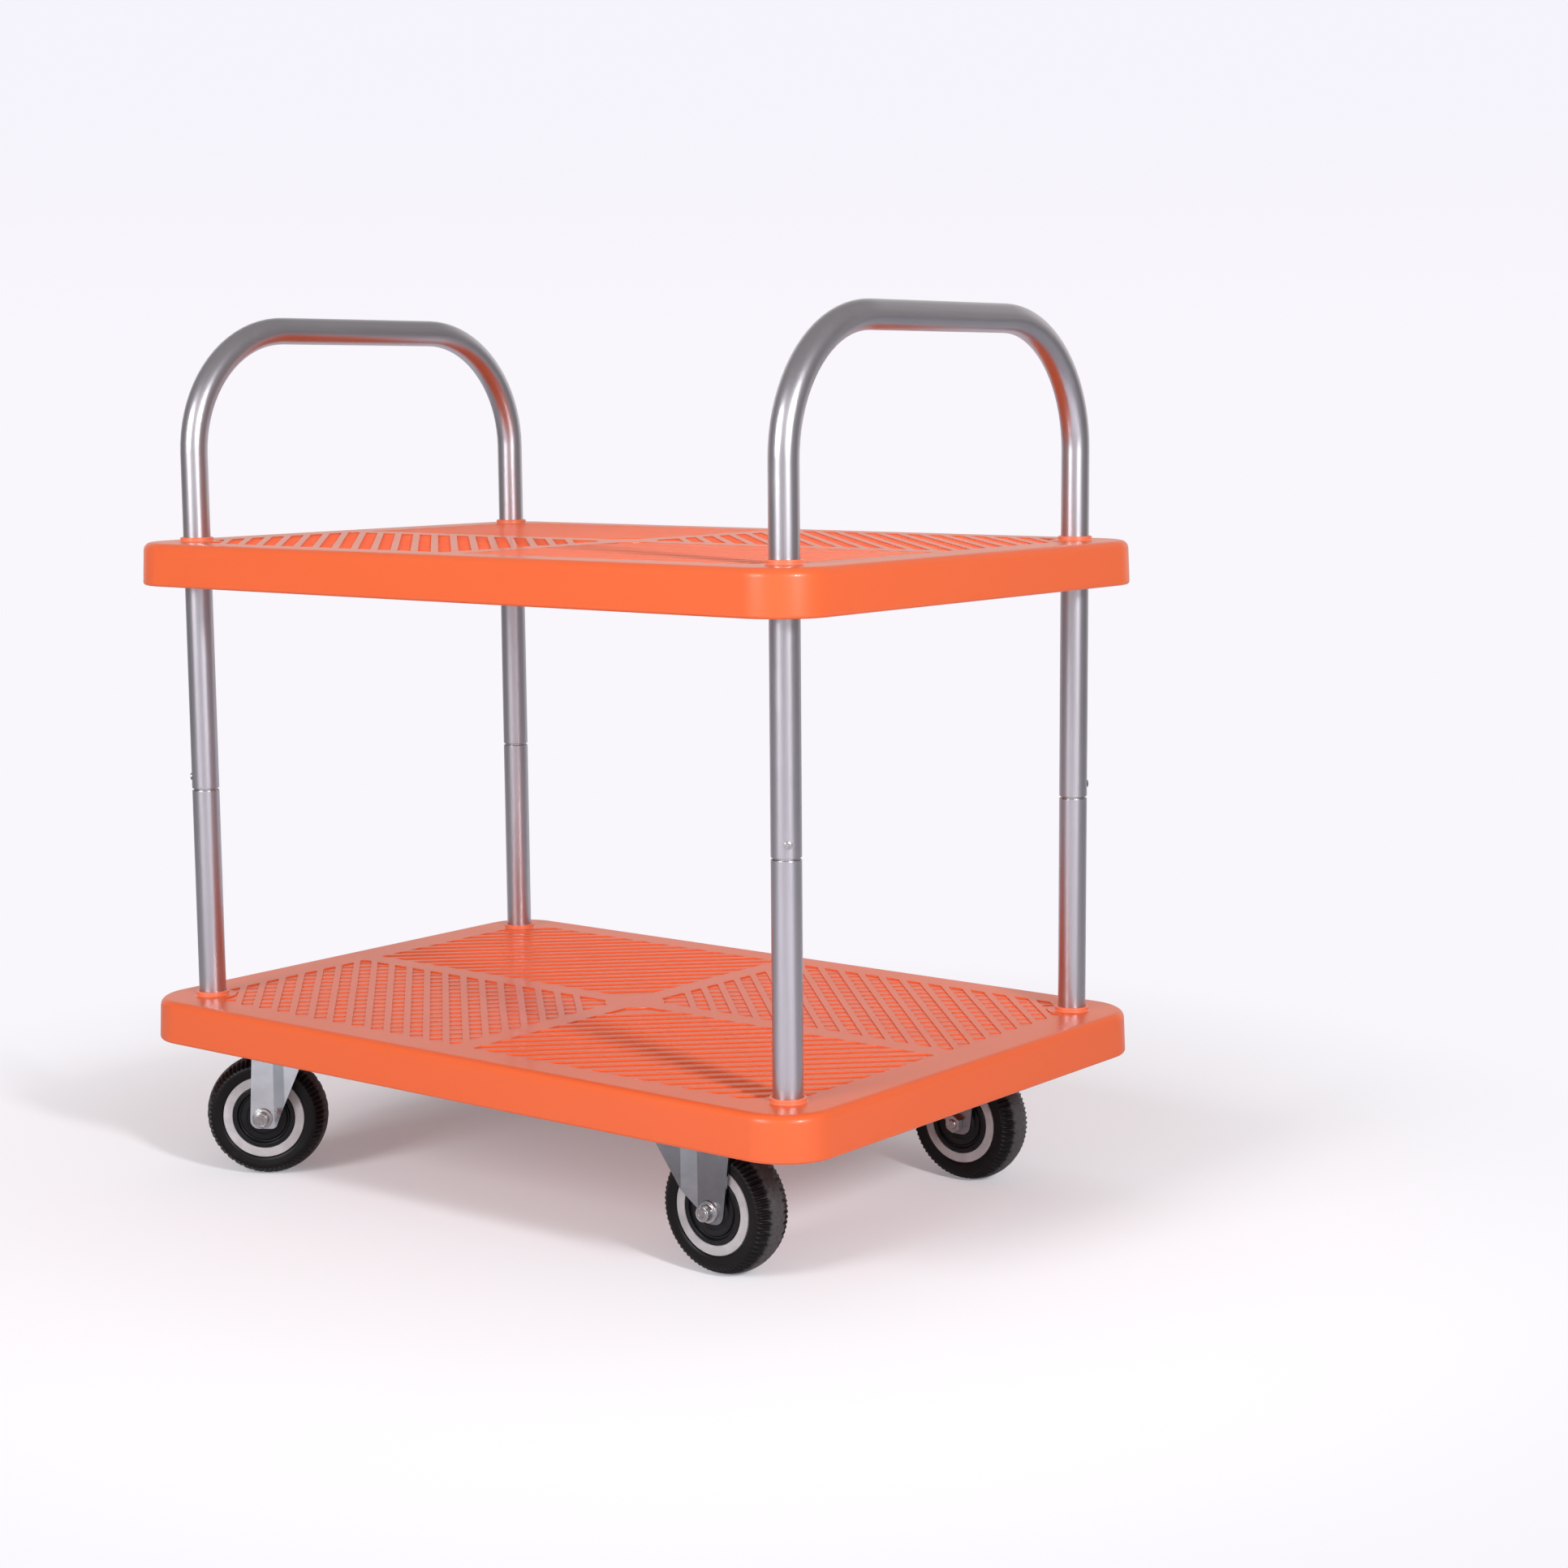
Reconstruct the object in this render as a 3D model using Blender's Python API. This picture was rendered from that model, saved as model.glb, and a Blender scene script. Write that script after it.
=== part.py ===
"""Two-tier platform trolley.

Two moulded decks stand on four tube posts. A U-shaped push handle at each end runs down through
the upper deck and meets the posts at a riveted coupling. Two swivel casters carry the rear end and
two fixed casters the front end.

Metres, +Z up, +X forward, +Y left. The origin is on the floor, under the middle of the decks.
"""
import math

import bmesh
import bpy
from mathutils import Matrix, Vector

# Clearances
seat_gap = 0.0003
running_gap = 0.0005
overrun = 0.002
embed = 0.001
merge_distance = 0.000001

# Decks
deck_length = 0.900
deck_width = 0.600
deck_depth = 0.045
deck_corner_radius = 0.055
deck_top_edge_radius = 0.008
deck_foot_edge_radius = 0.0035
deck_draft = 0.0015
deck_wall = 0.004
deck_skin = 0.006
deck_rib = 0.003
deck_rib_recess = 0.002
deck_boss_recess = 0.001
deck_pitch = 0.490
deck_corner_steps = 5
deck_top_edge_steps = 3
deck_rib_columns = 5
deck_rib_rows = 3

# Tread on the deck tops: recessed strips between flat bars, in four fields
tread_end_margin = 0.051
tread_side_margin = 0.0405
tread_band = 0.027
tread_pitch = 0.020
tread_bar = 0.0075
tread_depth = 0.0025
tread_centre_radius = 0.028
tread_post_radius = 0.0255
tread_first_bar = 3
tread_round_segments = 12

# Posts, handles and their couplings
tube_radius = 0.0143
tube_wall = 0.0015
tube_segments = 16
post_end_inset = 0.054
post_side_inset = 0.059
post_socket_floor = 0.005
boss_wall = 0.0062
collar_radius = 0.0175
collar_height = 0.0045
collar_chamfer = 0.001
seam_above_deck = 0.225
seam_gap = 0.002
handle_rise = 0.222
handle_bend_radius = 0.130
handle_bend_steps = 6
coupling_length = 0.100
coupling_wall = 0.0017
rivet_above_seam = 0.0135
rivet_head_radius = 0.004
rivet_head_height = 0.0013
rivet_radius = 0.0021
rivet_tail_radius = 0.003
rivet_tail_height = 0.0015
deck_screw_radius = 0.002
deck_screw_head_radius = 0.004
deck_screw_head_height = 0.0025
deck_screw_height = 0.018
deck_screw_point = 0.003
fastener_segments = 10

# Wheels
tyre_radius = 0.0655
tyre_half_width = 0.023
tyre_wall_radius = 0.0535
tyre_wall_inset = 0.002
tyre_shoulder_drop = 0.0045
tyre_shoulder_half_width = 0.0165
tyre_tread_drop = 0.001
tyre_tread_half_width = 0.0095
tyre_crown_half_width = 0.004
rim_radius = 0.044
rim_half_width = 0.0208
rim_ring = 0.010
rim_web = 0.012
hub_radius = 0.0125
hub_half_length = 0.021
cap_height = 0.0008
cap_sheet = 0.0016
cap_lip = 0.004
cap_groove_depth = 0.0035
cap_groove = 0.005
cap_collar_radius = 0.015
wheel_segments = 24
cap_segments = 12

# Axles
axle_radius = 0.005
axle_head_radius = 0.0078
axle_head_height = 0.0105
axle_head_edge = 0.0015
axle_nut_radius = 0.0095
axle_nut_height = 0.007
axle_nut_sides = 6
axle_thread_end = 0.002
bush_wall = 0.0018
axle_segments = 12

# Casters
caster_plate_length = 0.114
caster_plate_width = 0.090
caster_plate_thickness = 0.003
caster_plate_corner = 0.008
caster_plate_corner_steps = 3
caster_bolt_spacing_x = 0.080
caster_bolt_spacing_y = 0.060
caster_bolt_hole_radius = 0.0043
caster_pad_length = 0.120
caster_pad_width = 0.100
caster_pad_rib = 0.005
caster_pad_depth = 0.0297
caster_clearance = 0.130
fork_sheet = 0.0025
hub_clearance = 0.0027
tyre_headroom = 0.01606
leg_bend = 0.0135
leg_joggle_run = 0.0125
leg_joggle = 0.009
leg_flare = math.radians(3)
leg_drop = 0.0115
leg_front_round = 0.007
leg_round_steps = 4

# Swivel casters
swivel_end_inset = 0.148
swivel_side_inset = 0.0945
swivel_yaw = math.radians(35)
swivel_trail = 0.035
fork_crown_front = 0.020
fork_crown_back = 0.044
fork_foot_back = 0.0137
fork_foot_front = 0.014
fork_foot_round = 0.009
race_radius = 0.036
race_inner_radius = 0.024
race_height = 0.0074
race_lip = 0.0022
kingpin_radius = 0.006
kingpin_flange_radius = 0.0085
kingpin_flange = 0.0015
kingpin_head_radius = 0.011
kingpin_head_height = 0.005
crown_steps = 8

# Fixed casters
fixed_end_inset = 0.158
fixed_side_inset = 0.0945
fixed_axle_offset = 0.0255
bracket_top_back = 0.0295
bracket_top_front = 0.0795
bracket_foot_back = 0.0165
bracket_foot_front = 0.0045
bracket_foot_round = 0.011

# Places that follow from the sizes above
post_x = deck_length / 2 - post_end_inset
post_y = deck_width / 2 - post_side_inset
swivel_x = swivel_end_inset - deck_length / 2
swivel_y = deck_width / 2 - swivel_side_inset
fixed_wheel_x = deck_length / 2 - fixed_end_inset
fixed_wheel_y = deck_width / 2 - fixed_side_inset
tube_inner_radius = tube_radius - tube_wall
wheel_centre_height = tyre_radius * math.cos(math.pi / wheel_segments)
crown_underside = wheel_centre_height + tyre_radius + tyre_headroom
crown_top = crown_underside + fork_sheet
caster_height = crown_top + race_height + caster_plate_thickness + 2 * seat_gap
caster_plate_underside = caster_height - caster_plate_thickness
lower_deck_top = caster_height + seat_gap + caster_pad_depth
lower_deck_underside = lower_deck_top - deck_depth
upper_deck_top = lower_deck_top + deck_pitch
upper_deck_underside = upper_deck_top - deck_depth
seam_height = lower_deck_top + seam_above_deck
handle_top = upper_deck_top + handle_rise
boss_radius = tube_radius + seat_gap + boss_wall
leg_inner = hub_half_length + hub_clearance
leg_outer = leg_inner + fork_sheet
bush_radius = axle_radius + seat_gap + bush_wall

# Finishes: colour, roughness, metallic
orange_plastic = ((0.90, 0.16, 0.04), 0.35, 0.0)
brushed_tube = ((0.62, 0.62, 0.64), 0.28, 1.0)
zinc_steel = ((0.55, 0.58, 0.62), 0.35, 1.0)
bright_steel = ((0.65, 0.65, 0.66), 0.25, 1.0)
black_rubber = ((0.015, 0.014, 0.016), 0.60, 0.0)
grey_plastic = ((0.40, 0.39, 0.41), 0.45, 0.0)
black_plastic = ((0.010, 0.010, 0.014), 0.35, 0.0)


def clear_scene():
    """Remove whatever the scene holds."""
    for item in list(bpy.data.objects):
        bpy.data.objects.remove(item)


def finish_object(name, mesh, look):
    """Give a mesh an object, a material of its own and smooth round faces."""
    colour, roughness, metallic = look
    material = bpy.data.materials.new(name + "_finish")
    material.use_nodes = True
    shader = material.node_tree.nodes["Principled BSDF"]
    shader.inputs["Base Color"].default_value = (*colour, 1.0)
    shader.inputs["Roughness"].default_value = roughness
    shader.inputs["Metallic"].default_value = metallic
    material.diffuse_color = (*colour, 1.0)
    mesh.materials.clear()
    mesh.materials.append(material)
    mesh.shade_smooth()
    mesh.set_sharp_from_angle(angle=math.radians(30))
    piece = bpy.data.objects.new(name, mesh)
    bpy.context.scene.collection.objects.link(piece)
    return piece


def to_mesh(name, shape):
    """Close a bmesh into a mesh with its faces pointing out."""
    bmesh.ops.recalc_face_normals(shape, faces=shape.faces)
    mesh = bpy.data.meshes.new(name)
    shape.to_mesh(mesh)
    shape.free()
    return mesh


def loft(name, rings, closed=False):
    """Join rings of points with faces, and cap the ends unless the rings close on themselves."""
    shape = bmesh.new()
    rows = [[shape.verts.new(point) for point in ring] for ring in rings]
    pairs = list(zip(rows, rows[1:]))
    if closed:
        pairs.append((rows[-1], rows[0]))
    for low, high in pairs:
        for index in range(len(low)):
            after = (index + 1) % len(low)
            shape.faces.new((low[index], low[after], high[after], high[index]))
    if not closed:
        shape.faces.new(reversed(rows[0]))
        shape.faces.new(rows[-1])
    return to_mesh(name, shape)


def prism(name, outline, low, high):
    """An outline in plan, raised from one height to another."""
    return loft(name, [[(x, y, low) for x, y in outline], [(x, y, high) for x, y in outline]])


def side_prism(name, outline, low, high):
    """An outline seen from the side, in X and Z, drawn out along Y."""
    return loft(name, [[(x, low, z) for x, z in outline], [(x, high, z) for x, z in outline]])


def circle(centre_x, centre_y, radius, segments):
    """Points round a circle in plan, the first one towards +X."""
    steps = [2 * math.pi * step / segments for step in range(segments)]
    return [(centre_x + radius * math.cos(a), centre_y + radius * math.sin(a)) for a in steps]


def rectangle(centre_x, centre_y, length, width):
    """The four corners of a rectangle in plan."""
    half_length = length / 2
    half_width = width / 2
    return [
        (centre_x - half_length, centre_y - half_width),
        (centre_x + half_length, centre_y - half_width),
        (centre_x + half_length, centre_y + half_width),
        (centre_x - half_length, centre_y + half_width),
    ]


def rounded_outline(corners, radii, steps):
    """A polygon with each corner turned on its own radius."""
    outline = []
    for index, corner in enumerate(corners):
        here = Vector(corner)
        radius = radii[index]
        if radius == 0:
            outline.append(tuple(here))
            continue
        back = (Vector(corners[index - 1]) - here).normalized()
        ahead = (Vector(corners[(index + 1) % len(corners)]) - here).normalized()
        half_angle = back.angle(ahead) / 2
        centre = here + (back + ahead).normalized() * (radius / math.sin(half_angle))
        start = here + back * (radius / math.tan(half_angle)) - centre
        turn = start.angle_signed(here + ahead * (radius / math.tan(half_angle)) - centre)
        for step in range(steps + 1):
            swung = start.copy()
            swung.rotate(Matrix.Rotation(-turn * step / steps, 2))
            outline.append(tuple(centre + swung))
    return outline


def turned(name, profile, segments, solid=False):
    """Spin a profile of (radius, height) points round the Z axis, with a flat facing +Y."""
    shape = bmesh.new()
    first = math.pi / 2 + math.pi / segments
    verts = [shape.verts.new((r * math.cos(first), r * math.sin(first), h)) for r, h in profile]
    edges = [shape.edges.new(pair) for pair in zip(verts, verts[1:])]
    if not solid:
        edges.append(shape.edges.new((verts[-1], verts[0])))
    bmesh.ops.spin(
        shape,
        geom=verts + edges,
        cent=(0, 0, 0),
        axis=(0, 0, 1),
        angle=2 * math.pi,
        steps=segments,
        use_merge=True,
    )
    bmesh.ops.remove_doubles(shape, verts=shape.verts, dist=merge_distance)
    return to_mesh(name, shape)


def clear_round(radius, segments):
    """Corner radius of a faceted bore whose flats clear a round of the given radius."""
    return radius / math.cos(math.pi / segments)


def combine(mesh, tool, operation="DIFFERENCE"):
    """Cut, join or intersect one mesh with another by an exact Boolean."""
    body = bpy.data.objects.new("body", mesh)
    cutter = bpy.data.objects.new("cutter", tool)
    bpy.context.scene.collection.objects.link(body)
    bpy.context.scene.collection.objects.link(cutter)
    modifier = body.modifiers.new("Boolean", "BOOLEAN")
    modifier.operation = operation
    modifier.solver = "EXACT"
    modifier.object = cutter
    depsgraph = bpy.context.evaluated_depsgraph_get()
    result = bpy.data.meshes.new_from_object(body.evaluated_get(depsgraph))
    bpy.data.objects.remove(body)
    bpy.data.objects.remove(cutter)
    bpy.data.meshes.remove(mesh)
    bpy.data.meshes.remove(tool)
    return result


def joined(meshes):
    """Put meshes that don't touch into one."""
    shape = bmesh.new()
    for mesh in meshes:
        shape.from_mesh(mesh)
        bpy.data.meshes.remove(mesh)
    result = bpy.data.meshes.new("joined")
    shape.to_mesh(result)
    shape.free()
    return result


def mirrored(mesh, side_x, side_y):
    """A copy of a mesh on the given sides of the middle planes, still facing out."""
    shape = bmesh.new()
    shape.from_mesh(mesh)
    bmesh.ops.scale(shape, vec=(side_x, side_y, 1), verts=shape.verts)
    return to_mesh("mirrored", shape)


def rod(centre, direction, radius, low, high, segments):
    """A round cutter along a direction, from one distance along it to another."""
    mesh = prism("rod", circle(0, 0, radius, segments), low, high)
    turn = Vector(direction).to_track_quat("Z", "Y").to_matrix().to_4x4()
    mesh.transform(Matrix.Translation(centre) @ turn)
    return mesh


def place(piece, parent=None, location=(0, 0, 0), direction=None):
    """Set a piece at its place, with its own Z axis along a direction."""
    piece.parent = parent
    piece.location = location
    if direction is not None:
        piece.rotation_euler = Vector(direction).to_track_quat("Z", "Y").to_euler()


def axis_empty(name, location, rotation=(0, 0, 0), parent=None):
    """An empty on a joint's axis, which carries the pieces that move about it."""
    empty = bpy.data.objects.new(name, None)
    bpy.context.scene.collection.objects.link(empty)
    empty.parent = parent
    empty.location = location
    empty.rotation_euler = rotation
    return empty


def deck_outline(inset):
    """The deck's plan, drawn in all round."""
    half_length = deck_length / 2 - inset
    half_width = deck_width / 2 - inset
    radius = deck_corner_radius - inset
    corners = [
        (half_length, -half_width),
        (half_length, half_width),
        (-half_length, half_width),
        (-half_length, -half_width),
    ]
    return rounded_outline(corners, [radius] * len(corners), deck_corner_steps)


def deck_shell():
    """The outside of a deck: drafted sides, a round top edge and a small round at the foot."""
    foot_mid = deck_foot_edge_radius * (1 - math.cos(math.pi / 4))
    levels = [(deck_foot_edge_radius, 0), (foot_mid, foot_mid), (0, deck_foot_edge_radius)]
    for step in range(deck_top_edge_steps + 1):
        angle = math.pi / 2 * step / deck_top_edge_steps
        inset = deck_draft + deck_top_edge_radius * (1 - math.cos(angle))
        height = deck_depth - deck_top_edge_radius * (1 - math.sin(angle))
        levels.append((inset, height))
    return loft("deck", [[(x, y, height) for x, y in deck_outline(inset)] for inset, height in levels])


def rib_lines(outermost, count):
    """Evenly spaced rib lines, the outermost ones through the posts."""
    return [outermost * (2 * index / (count - 1) - 1) for index in range(count)]


def hollow_out(mesh):
    """Cut a deck's hollow inside its skirt, then stand ribs in it, lengthwise and crosswise."""
    ceiling = deck_depth - deck_skin
    wall = deck_draft + deck_wall
    mesh = combine(mesh, prism("hollow", deck_outline(wall), -overrun, ceiling))
    reach_x = deck_length - 2 * wall + deck_wall
    reach_y = deck_width - 2 * wall + deck_wall
    cross = []
    for x in rib_lines(post_x, deck_rib_columns):
        span = reach_y
        if abs(x) > deck_length / 2 - deck_corner_radius:
            corner = deck_corner_radius - wall + deck_wall / 2
            over = abs(x) - deck_length / 2 + deck_corner_radius
            span = deck_width - 2 * deck_corner_radius + 2 * math.sqrt(corner ** 2 - over ** 2)
        cross.append(prism("rib", rectangle(x, 0, deck_rib, span), deck_rib_recess, ceiling + embed))
    mesh = combine(mesh, joined(cross), "UNION")
    along = []
    for y in rib_lines(post_y, deck_rib_rows):
        low = 2 * deck_rib_recess
        along.append(prism("rib", rectangle(0, y, reach_x, deck_rib), low, ceiling + embed / 2))
    return combine(mesh, joined(along), "UNION")


def tread_strips():
    """The recessed strips of all four tread fields, from below the deck's top to above it."""
    low = deck_depth - tread_depth
    high = deck_depth + overrun
    inner = tread_band / 2
    outer_x = deck_length / 2 - tread_end_margin
    outer_y = deck_width / 2 - tread_side_margin
    corners = [(inner, inner), (outer_x, inner), (outer_x, outer_y), (inner, outer_y)]
    field = prism("field", corners, low, high)
    centre = prism("centre", circle(0, 0, tread_centre_radius, tread_round_segments), 0, 2 * deck_depth)
    field = combine(field, centre)
    round_post = circle(post_x, post_y, tread_post_radius, tread_round_segments)
    field = combine(field, prism("collar", round_post, 0, 2 * deck_depth))
    reach = outer_x + outer_y
    last = (post_x + post_y) / math.sqrt(2)
    edges = [(0, tread_first_bar * tread_pitch - tread_bar / 2)]
    bar = tread_first_bar
    while (bar + 1) * tread_pitch - tread_bar / 2 < last:
        edges.append((bar * tread_pitch + tread_bar / 2, (bar + 1) * tread_pitch - tread_bar / 2))
        bar += 1
    strips = []
    for near, far in edges:
        outline = rectangle((near + far) / 2, 0, far - near, 2 * reach)
        strip = prism("strip", outline, low - overrun, high + overrun)
        strip.transform(Matrix.Rotation(math.pi / 4, 4, "Z"))
        strips.append(strip)
    quarter = combine(joined(strips), field, "INTERSECT")
    copies = [mirrored(quarter, side_x, side_y) for side_x in (1, -1) for side_y in (1, -1)]
    bpy.data.meshes.remove(quarter)
    return joined(copies)


def four_posts():
    """Name, place and outward sides of the four post positions."""
    for end, side_x in (("front", 1), ("rear", -1)):
        for hand, side_y in (("left", 1), ("right", -1)):
            yield end + "_" + hand, side_x * post_x, side_y * post_y, side_x, side_y


def caster_places():
    """Centres of the four caster plates, in plan."""
    fixed_x = fixed_wheel_x - fixed_axle_offset
    for side in (1, -1):
        yield swivel_x, side * swivel_y
        yield fixed_x, side * fixed_wheel_y


def add_caster_pads(mesh):
    """Blocks under the lower deck that the caster plates bear on, cored out, with room round them."""
    underside = caster_height + seat_gap - lower_deck_underside
    ceiling = deck_depth - deck_skin
    core_length = (caster_pad_length - 3 * caster_pad_rib) / 2
    core_width = (caster_pad_width - 3 * caster_pad_rib) / 2
    blocks = []
    cores = []
    rooms = []
    for x, y in caster_places():
        corners = rectangle(x, y, caster_pad_length, caster_pad_width)
        blocks.append(prism("pad", corners, underside, ceiling + embed))
        corners = rectangle(x, y, caster_clearance, caster_clearance)
        rooms.append(prism("room", corners, -overrun, underside))
        for side_x in (1, -1):
            for side_y in (1, -1):
                core_x = x + side_x * (core_length + caster_pad_rib) / 2
                core_y = y + side_y * (core_width + caster_pad_rib) / 2
                corners = rectangle(core_x, core_y, core_length, core_width)
                cores.append(prism("core", corners, underside - overrun, ceiling))
    mesh = combine(mesh, joined(blocks), "UNION")
    mesh = combine(mesh, joined(cores))
    return combine(mesh, joined(rooms))


def deck_screw_holes():
    """Holes through the inner side of each post boss."""
    holes = []
    for _, x, y, side_x, side_y in four_posts():
        inward = (-side_x, -side_y, 0)
        hole_radius = deck_screw_radius + seat_gap
        reach = boss_radius + overrun
        holes.append(rod((x, y, deck_screw_height), inward, hole_radius, 0, reach, fastener_segments))
    return joined(holes)


def make_deck(name, underside, on_casters):
    """One deck. The lower one carries the casters and holds the posts in blind sockets."""
    mesh = hollow_out(deck_shell())
    if on_casters:
        mesh = add_caster_pads(mesh)
    bosses = []
    collars = []
    bores = []
    bore_floor = post_socket_floor if on_casters else -overrun
    for _, x, y, _, _ in four_posts():
        top = deck_depth + collar_height
        boss = circle(x, y, boss_radius, tube_segments)
        bosses.append(prism("boss", boss, deck_boss_recess, deck_depth - 2 * embed))
        levels = [(collar_radius, deck_depth - embed), (collar_radius, top - collar_chamfer)]
        levels.append((collar_radius - collar_chamfer, top))
        rings = [[(px, py, z) for px, py in circle(x, y, radius, tube_segments)] for radius, z in levels]
        collars.append(loft("collar", rings))
        bore = circle(x, y, tube_radius + seat_gap, tube_segments)
        bores.append(prism("bore", bore, bore_floor, top + overrun))
    mesh = combine(mesh, joined(bosses), "UNION")
    mesh = combine(mesh, joined(collars), "UNION")
    mesh = combine(mesh, joined(bores))
    if not on_casters:
        mesh = combine(mesh, deck_screw_holes())
    mesh = combine(mesh, tread_strips())
    piece = finish_object(name, mesh, orange_plastic)
    place(piece, location=(0, 0, underside))


def handle_path():
    """Points along the handle's centre line, from one lower end to the other, with their tangents."""
    start = seam_height + seam_gap / 2
    path = [(-post_y, start, 0, 1)]
    for side in (-1, 1):
        for step in range(handle_bend_steps + 1):
            angle = math.pi / 2 * step / handle_bend_steps
            if side == 1:
                angle = math.pi / 2 - angle
            y = side * (post_y - handle_bend_radius + handle_bend_radius * math.cos(angle))
            z = handle_top - handle_bend_radius + handle_bend_radius * math.sin(angle)
            path.append((y, z, math.sin(angle), -side * math.cos(angle)))
    path.append((post_y, start, 0, -1))
    return path


def make_handle(end, side_x):
    """A push handle: one bent tube, which is also the upper half of two posts."""
    rings = []
    for radius, path in ((tube_radius, handle_path()), (tube_inner_radius, list(reversed(handle_path())))):
        for y, z, along_y, along_z in path:
            ring = []
            for across, out in circle(0, 0, radius, tube_segments):
                ring.append((across, y + out * along_z, z - out * along_y))
            rings.append(ring)
    mesh = loft("handle", rings, closed=True)
    holes = []
    for side_y in (1, -1):
        outward = (side_x, side_y, 0)
        centre = (0, side_y * post_y, seam_height + rivet_above_seam)
        reach = tube_radius + overrun
        holes.append(rod(centre, outward, rivet_radius + seat_gap, 0, reach, fastener_segments))
        centre = (0, side_y * post_y, upper_deck_underside + deck_screw_height)
        inward = (-side_x, -side_y, 0)
        holes.append(rod(centre, inward, deck_screw_radius + seat_gap, 0, reach, fastener_segments))
    mesh = combine(mesh, joined(holes))
    piece = finish_object(end + "_handle", mesh, brushed_tube)
    place(piece, location=(side_x * post_x, 0, 0))


def tube_mesh(outer, inner, low, high):
    """A straight tube on the Z axis."""
    outer_rings = [[(x, y, z) for x, y in circle(0, 0, outer, tube_segments)] for z in (low, high)]
    inner_rings = [[(x, y, z) for x, y in circle(0, 0, inner, tube_segments)] for z in (high, low)]
    return loft("tube", outer_rings + inner_rings, closed=True)


def make_post(corner, x, y, side_x, side_y):
    """A lower post, the sleeve that couples it to the handle above, and the sleeve's rivet."""
    foot = lower_deck_underside + post_socket_floor + seat_gap
    post = finish_object(
        corner + "_post",
        tube_mesh(tube_radius, tube_inner_radius, 0, seam_height - seam_gap / 2 - foot),
        brushed_tube,
    )
    place(post, location=(x, y, foot))
    sleeve_radius = tube_inner_radius - seat_gap
    sleeve_inner = sleeve_radius - coupling_wall
    outward = (side_x, side_y, 0)
    mesh = tube_mesh(sleeve_radius, sleeve_inner, -coupling_length / 2, coupling_length / 2)
    hole_centre = (0, 0, rivet_above_seam)
    hole_radius = rivet_radius + seat_gap
    mesh = combine(mesh, rod(hole_centre, outward, hole_radius, 0, tube_radius, fastener_segments))
    sleeve = finish_object(corner + "_coupling", mesh, bright_steel)
    place(sleeve, location=(x, y, seam_height))
    head_seat = tube_radius + seat_gap
    flat_of_bore = sleeve_inner * math.cos(math.pi / tube_segments)
    tail_seat = math.sqrt(flat_of_bore ** 2 - rivet_tail_radius ** 2) - seat_gap
    dome = math.cos(math.pi / 4)
    profile = [
        (0, head_seat + rivet_head_height),
        (rivet_head_radius * dome, head_seat + rivet_head_height * dome),
        (rivet_head_radius, head_seat),
        (rivet_radius, head_seat),
        (rivet_radius, tail_seat),
        (rivet_tail_radius, tail_seat),
        (rivet_tail_radius, tail_seat - rivet_tail_height),
        (0, tail_seat - rivet_tail_height),
    ]
    mesh = turned("rivet", profile, fastener_segments, solid=True)
    rivet = finish_object(corner + "_rivet", mesh, bright_steel)
    place(rivet, location=(x, y, seam_height + rivet_above_seam), direction=outward)


def make_deck_screw(corner, x, y, side_x, side_y):
    """The screw that holds the upper deck to a handle tube, driven through the deck's boss."""
    head_seat = boss_radius + seat_gap
    point = tube_inner_radius - deck_screw_point
    profile = [
        (0, head_seat + deck_screw_head_height),
        (deck_screw_head_radius, head_seat + deck_screw_head_height / 2),
        (deck_screw_head_radius, head_seat),
        (deck_screw_radius, head_seat),
        (deck_screw_radius, point + deck_screw_radius),
        (0, point),
    ]
    mesh = turned("screw", profile, fastener_segments, solid=True)
    screw = finish_object(corner + "_deck_screw", mesh, bright_steel)
    height = upper_deck_underside + deck_screw_height
    place(screw, location=(x, y, height), direction=(-side_x, -side_y, 0))


def leg_pair(side_view, axle_x):
    """Two caster legs: a flat strip at the axle, a joggle outwards, then a web that flares."""
    back = min(x for x, _ in side_view) - overrun
    front = max(x for x, _ in side_view) + overrun
    low = min(z for _, z in side_view) - overrun
    high = max(z for _, z in side_view) + overrun
    fold = [
        (back, leg_outer),
        (axle_x + leg_bend, leg_outer),
        (axle_x + leg_bend + leg_joggle_run, leg_outer + leg_joggle),
        (front, web_outer(front - axle_x)),
    ]
    strip = fold + [(x, y - fork_sheet) for x, y in reversed(fold)]
    width = 2 * web_outer(front - axle_x)
    legs = []
    for side in (1, -1):
        leg = prism("leg", [(x, side * y) for x, y in strip], low, high)
        legs.append(combine(leg, side_prism("side", side_view, -width, width), "INTERSECT"))
    return legs


def web_outer(distance):
    """How far out a leg's web lies, at a distance from the axle towards the caster's middle."""
    return leg_outer + leg_joggle + (distance - leg_bend - leg_joggle_run) * math.tan(leg_flare)


def crown_outline():
    """The plan of a fork's crown: as wide as its legs, with a round nose."""
    back = -fork_crown_back
    bend = -swivel_trail + leg_bend
    second_bend = bend + leg_joggle_run
    web = leg_outer + leg_joggle
    side = web_outer(fork_crown_front + swivel_trail)
    nose = math.hypot(fork_crown_front, side)
    sweep = math.atan2(side, fork_crown_front)
    outline = [(back, -leg_outer), (bend, -leg_outer), (second_bend, -web)]
    for step in range(crown_steps + 1):
        angle = sweep * (2 * step / crown_steps - 1)
        outline.append((nose * math.cos(angle), nose * math.sin(angle)))
    outline += [(second_bend, web), (bend, leg_outer), (back, leg_outer)]
    return outline


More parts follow.
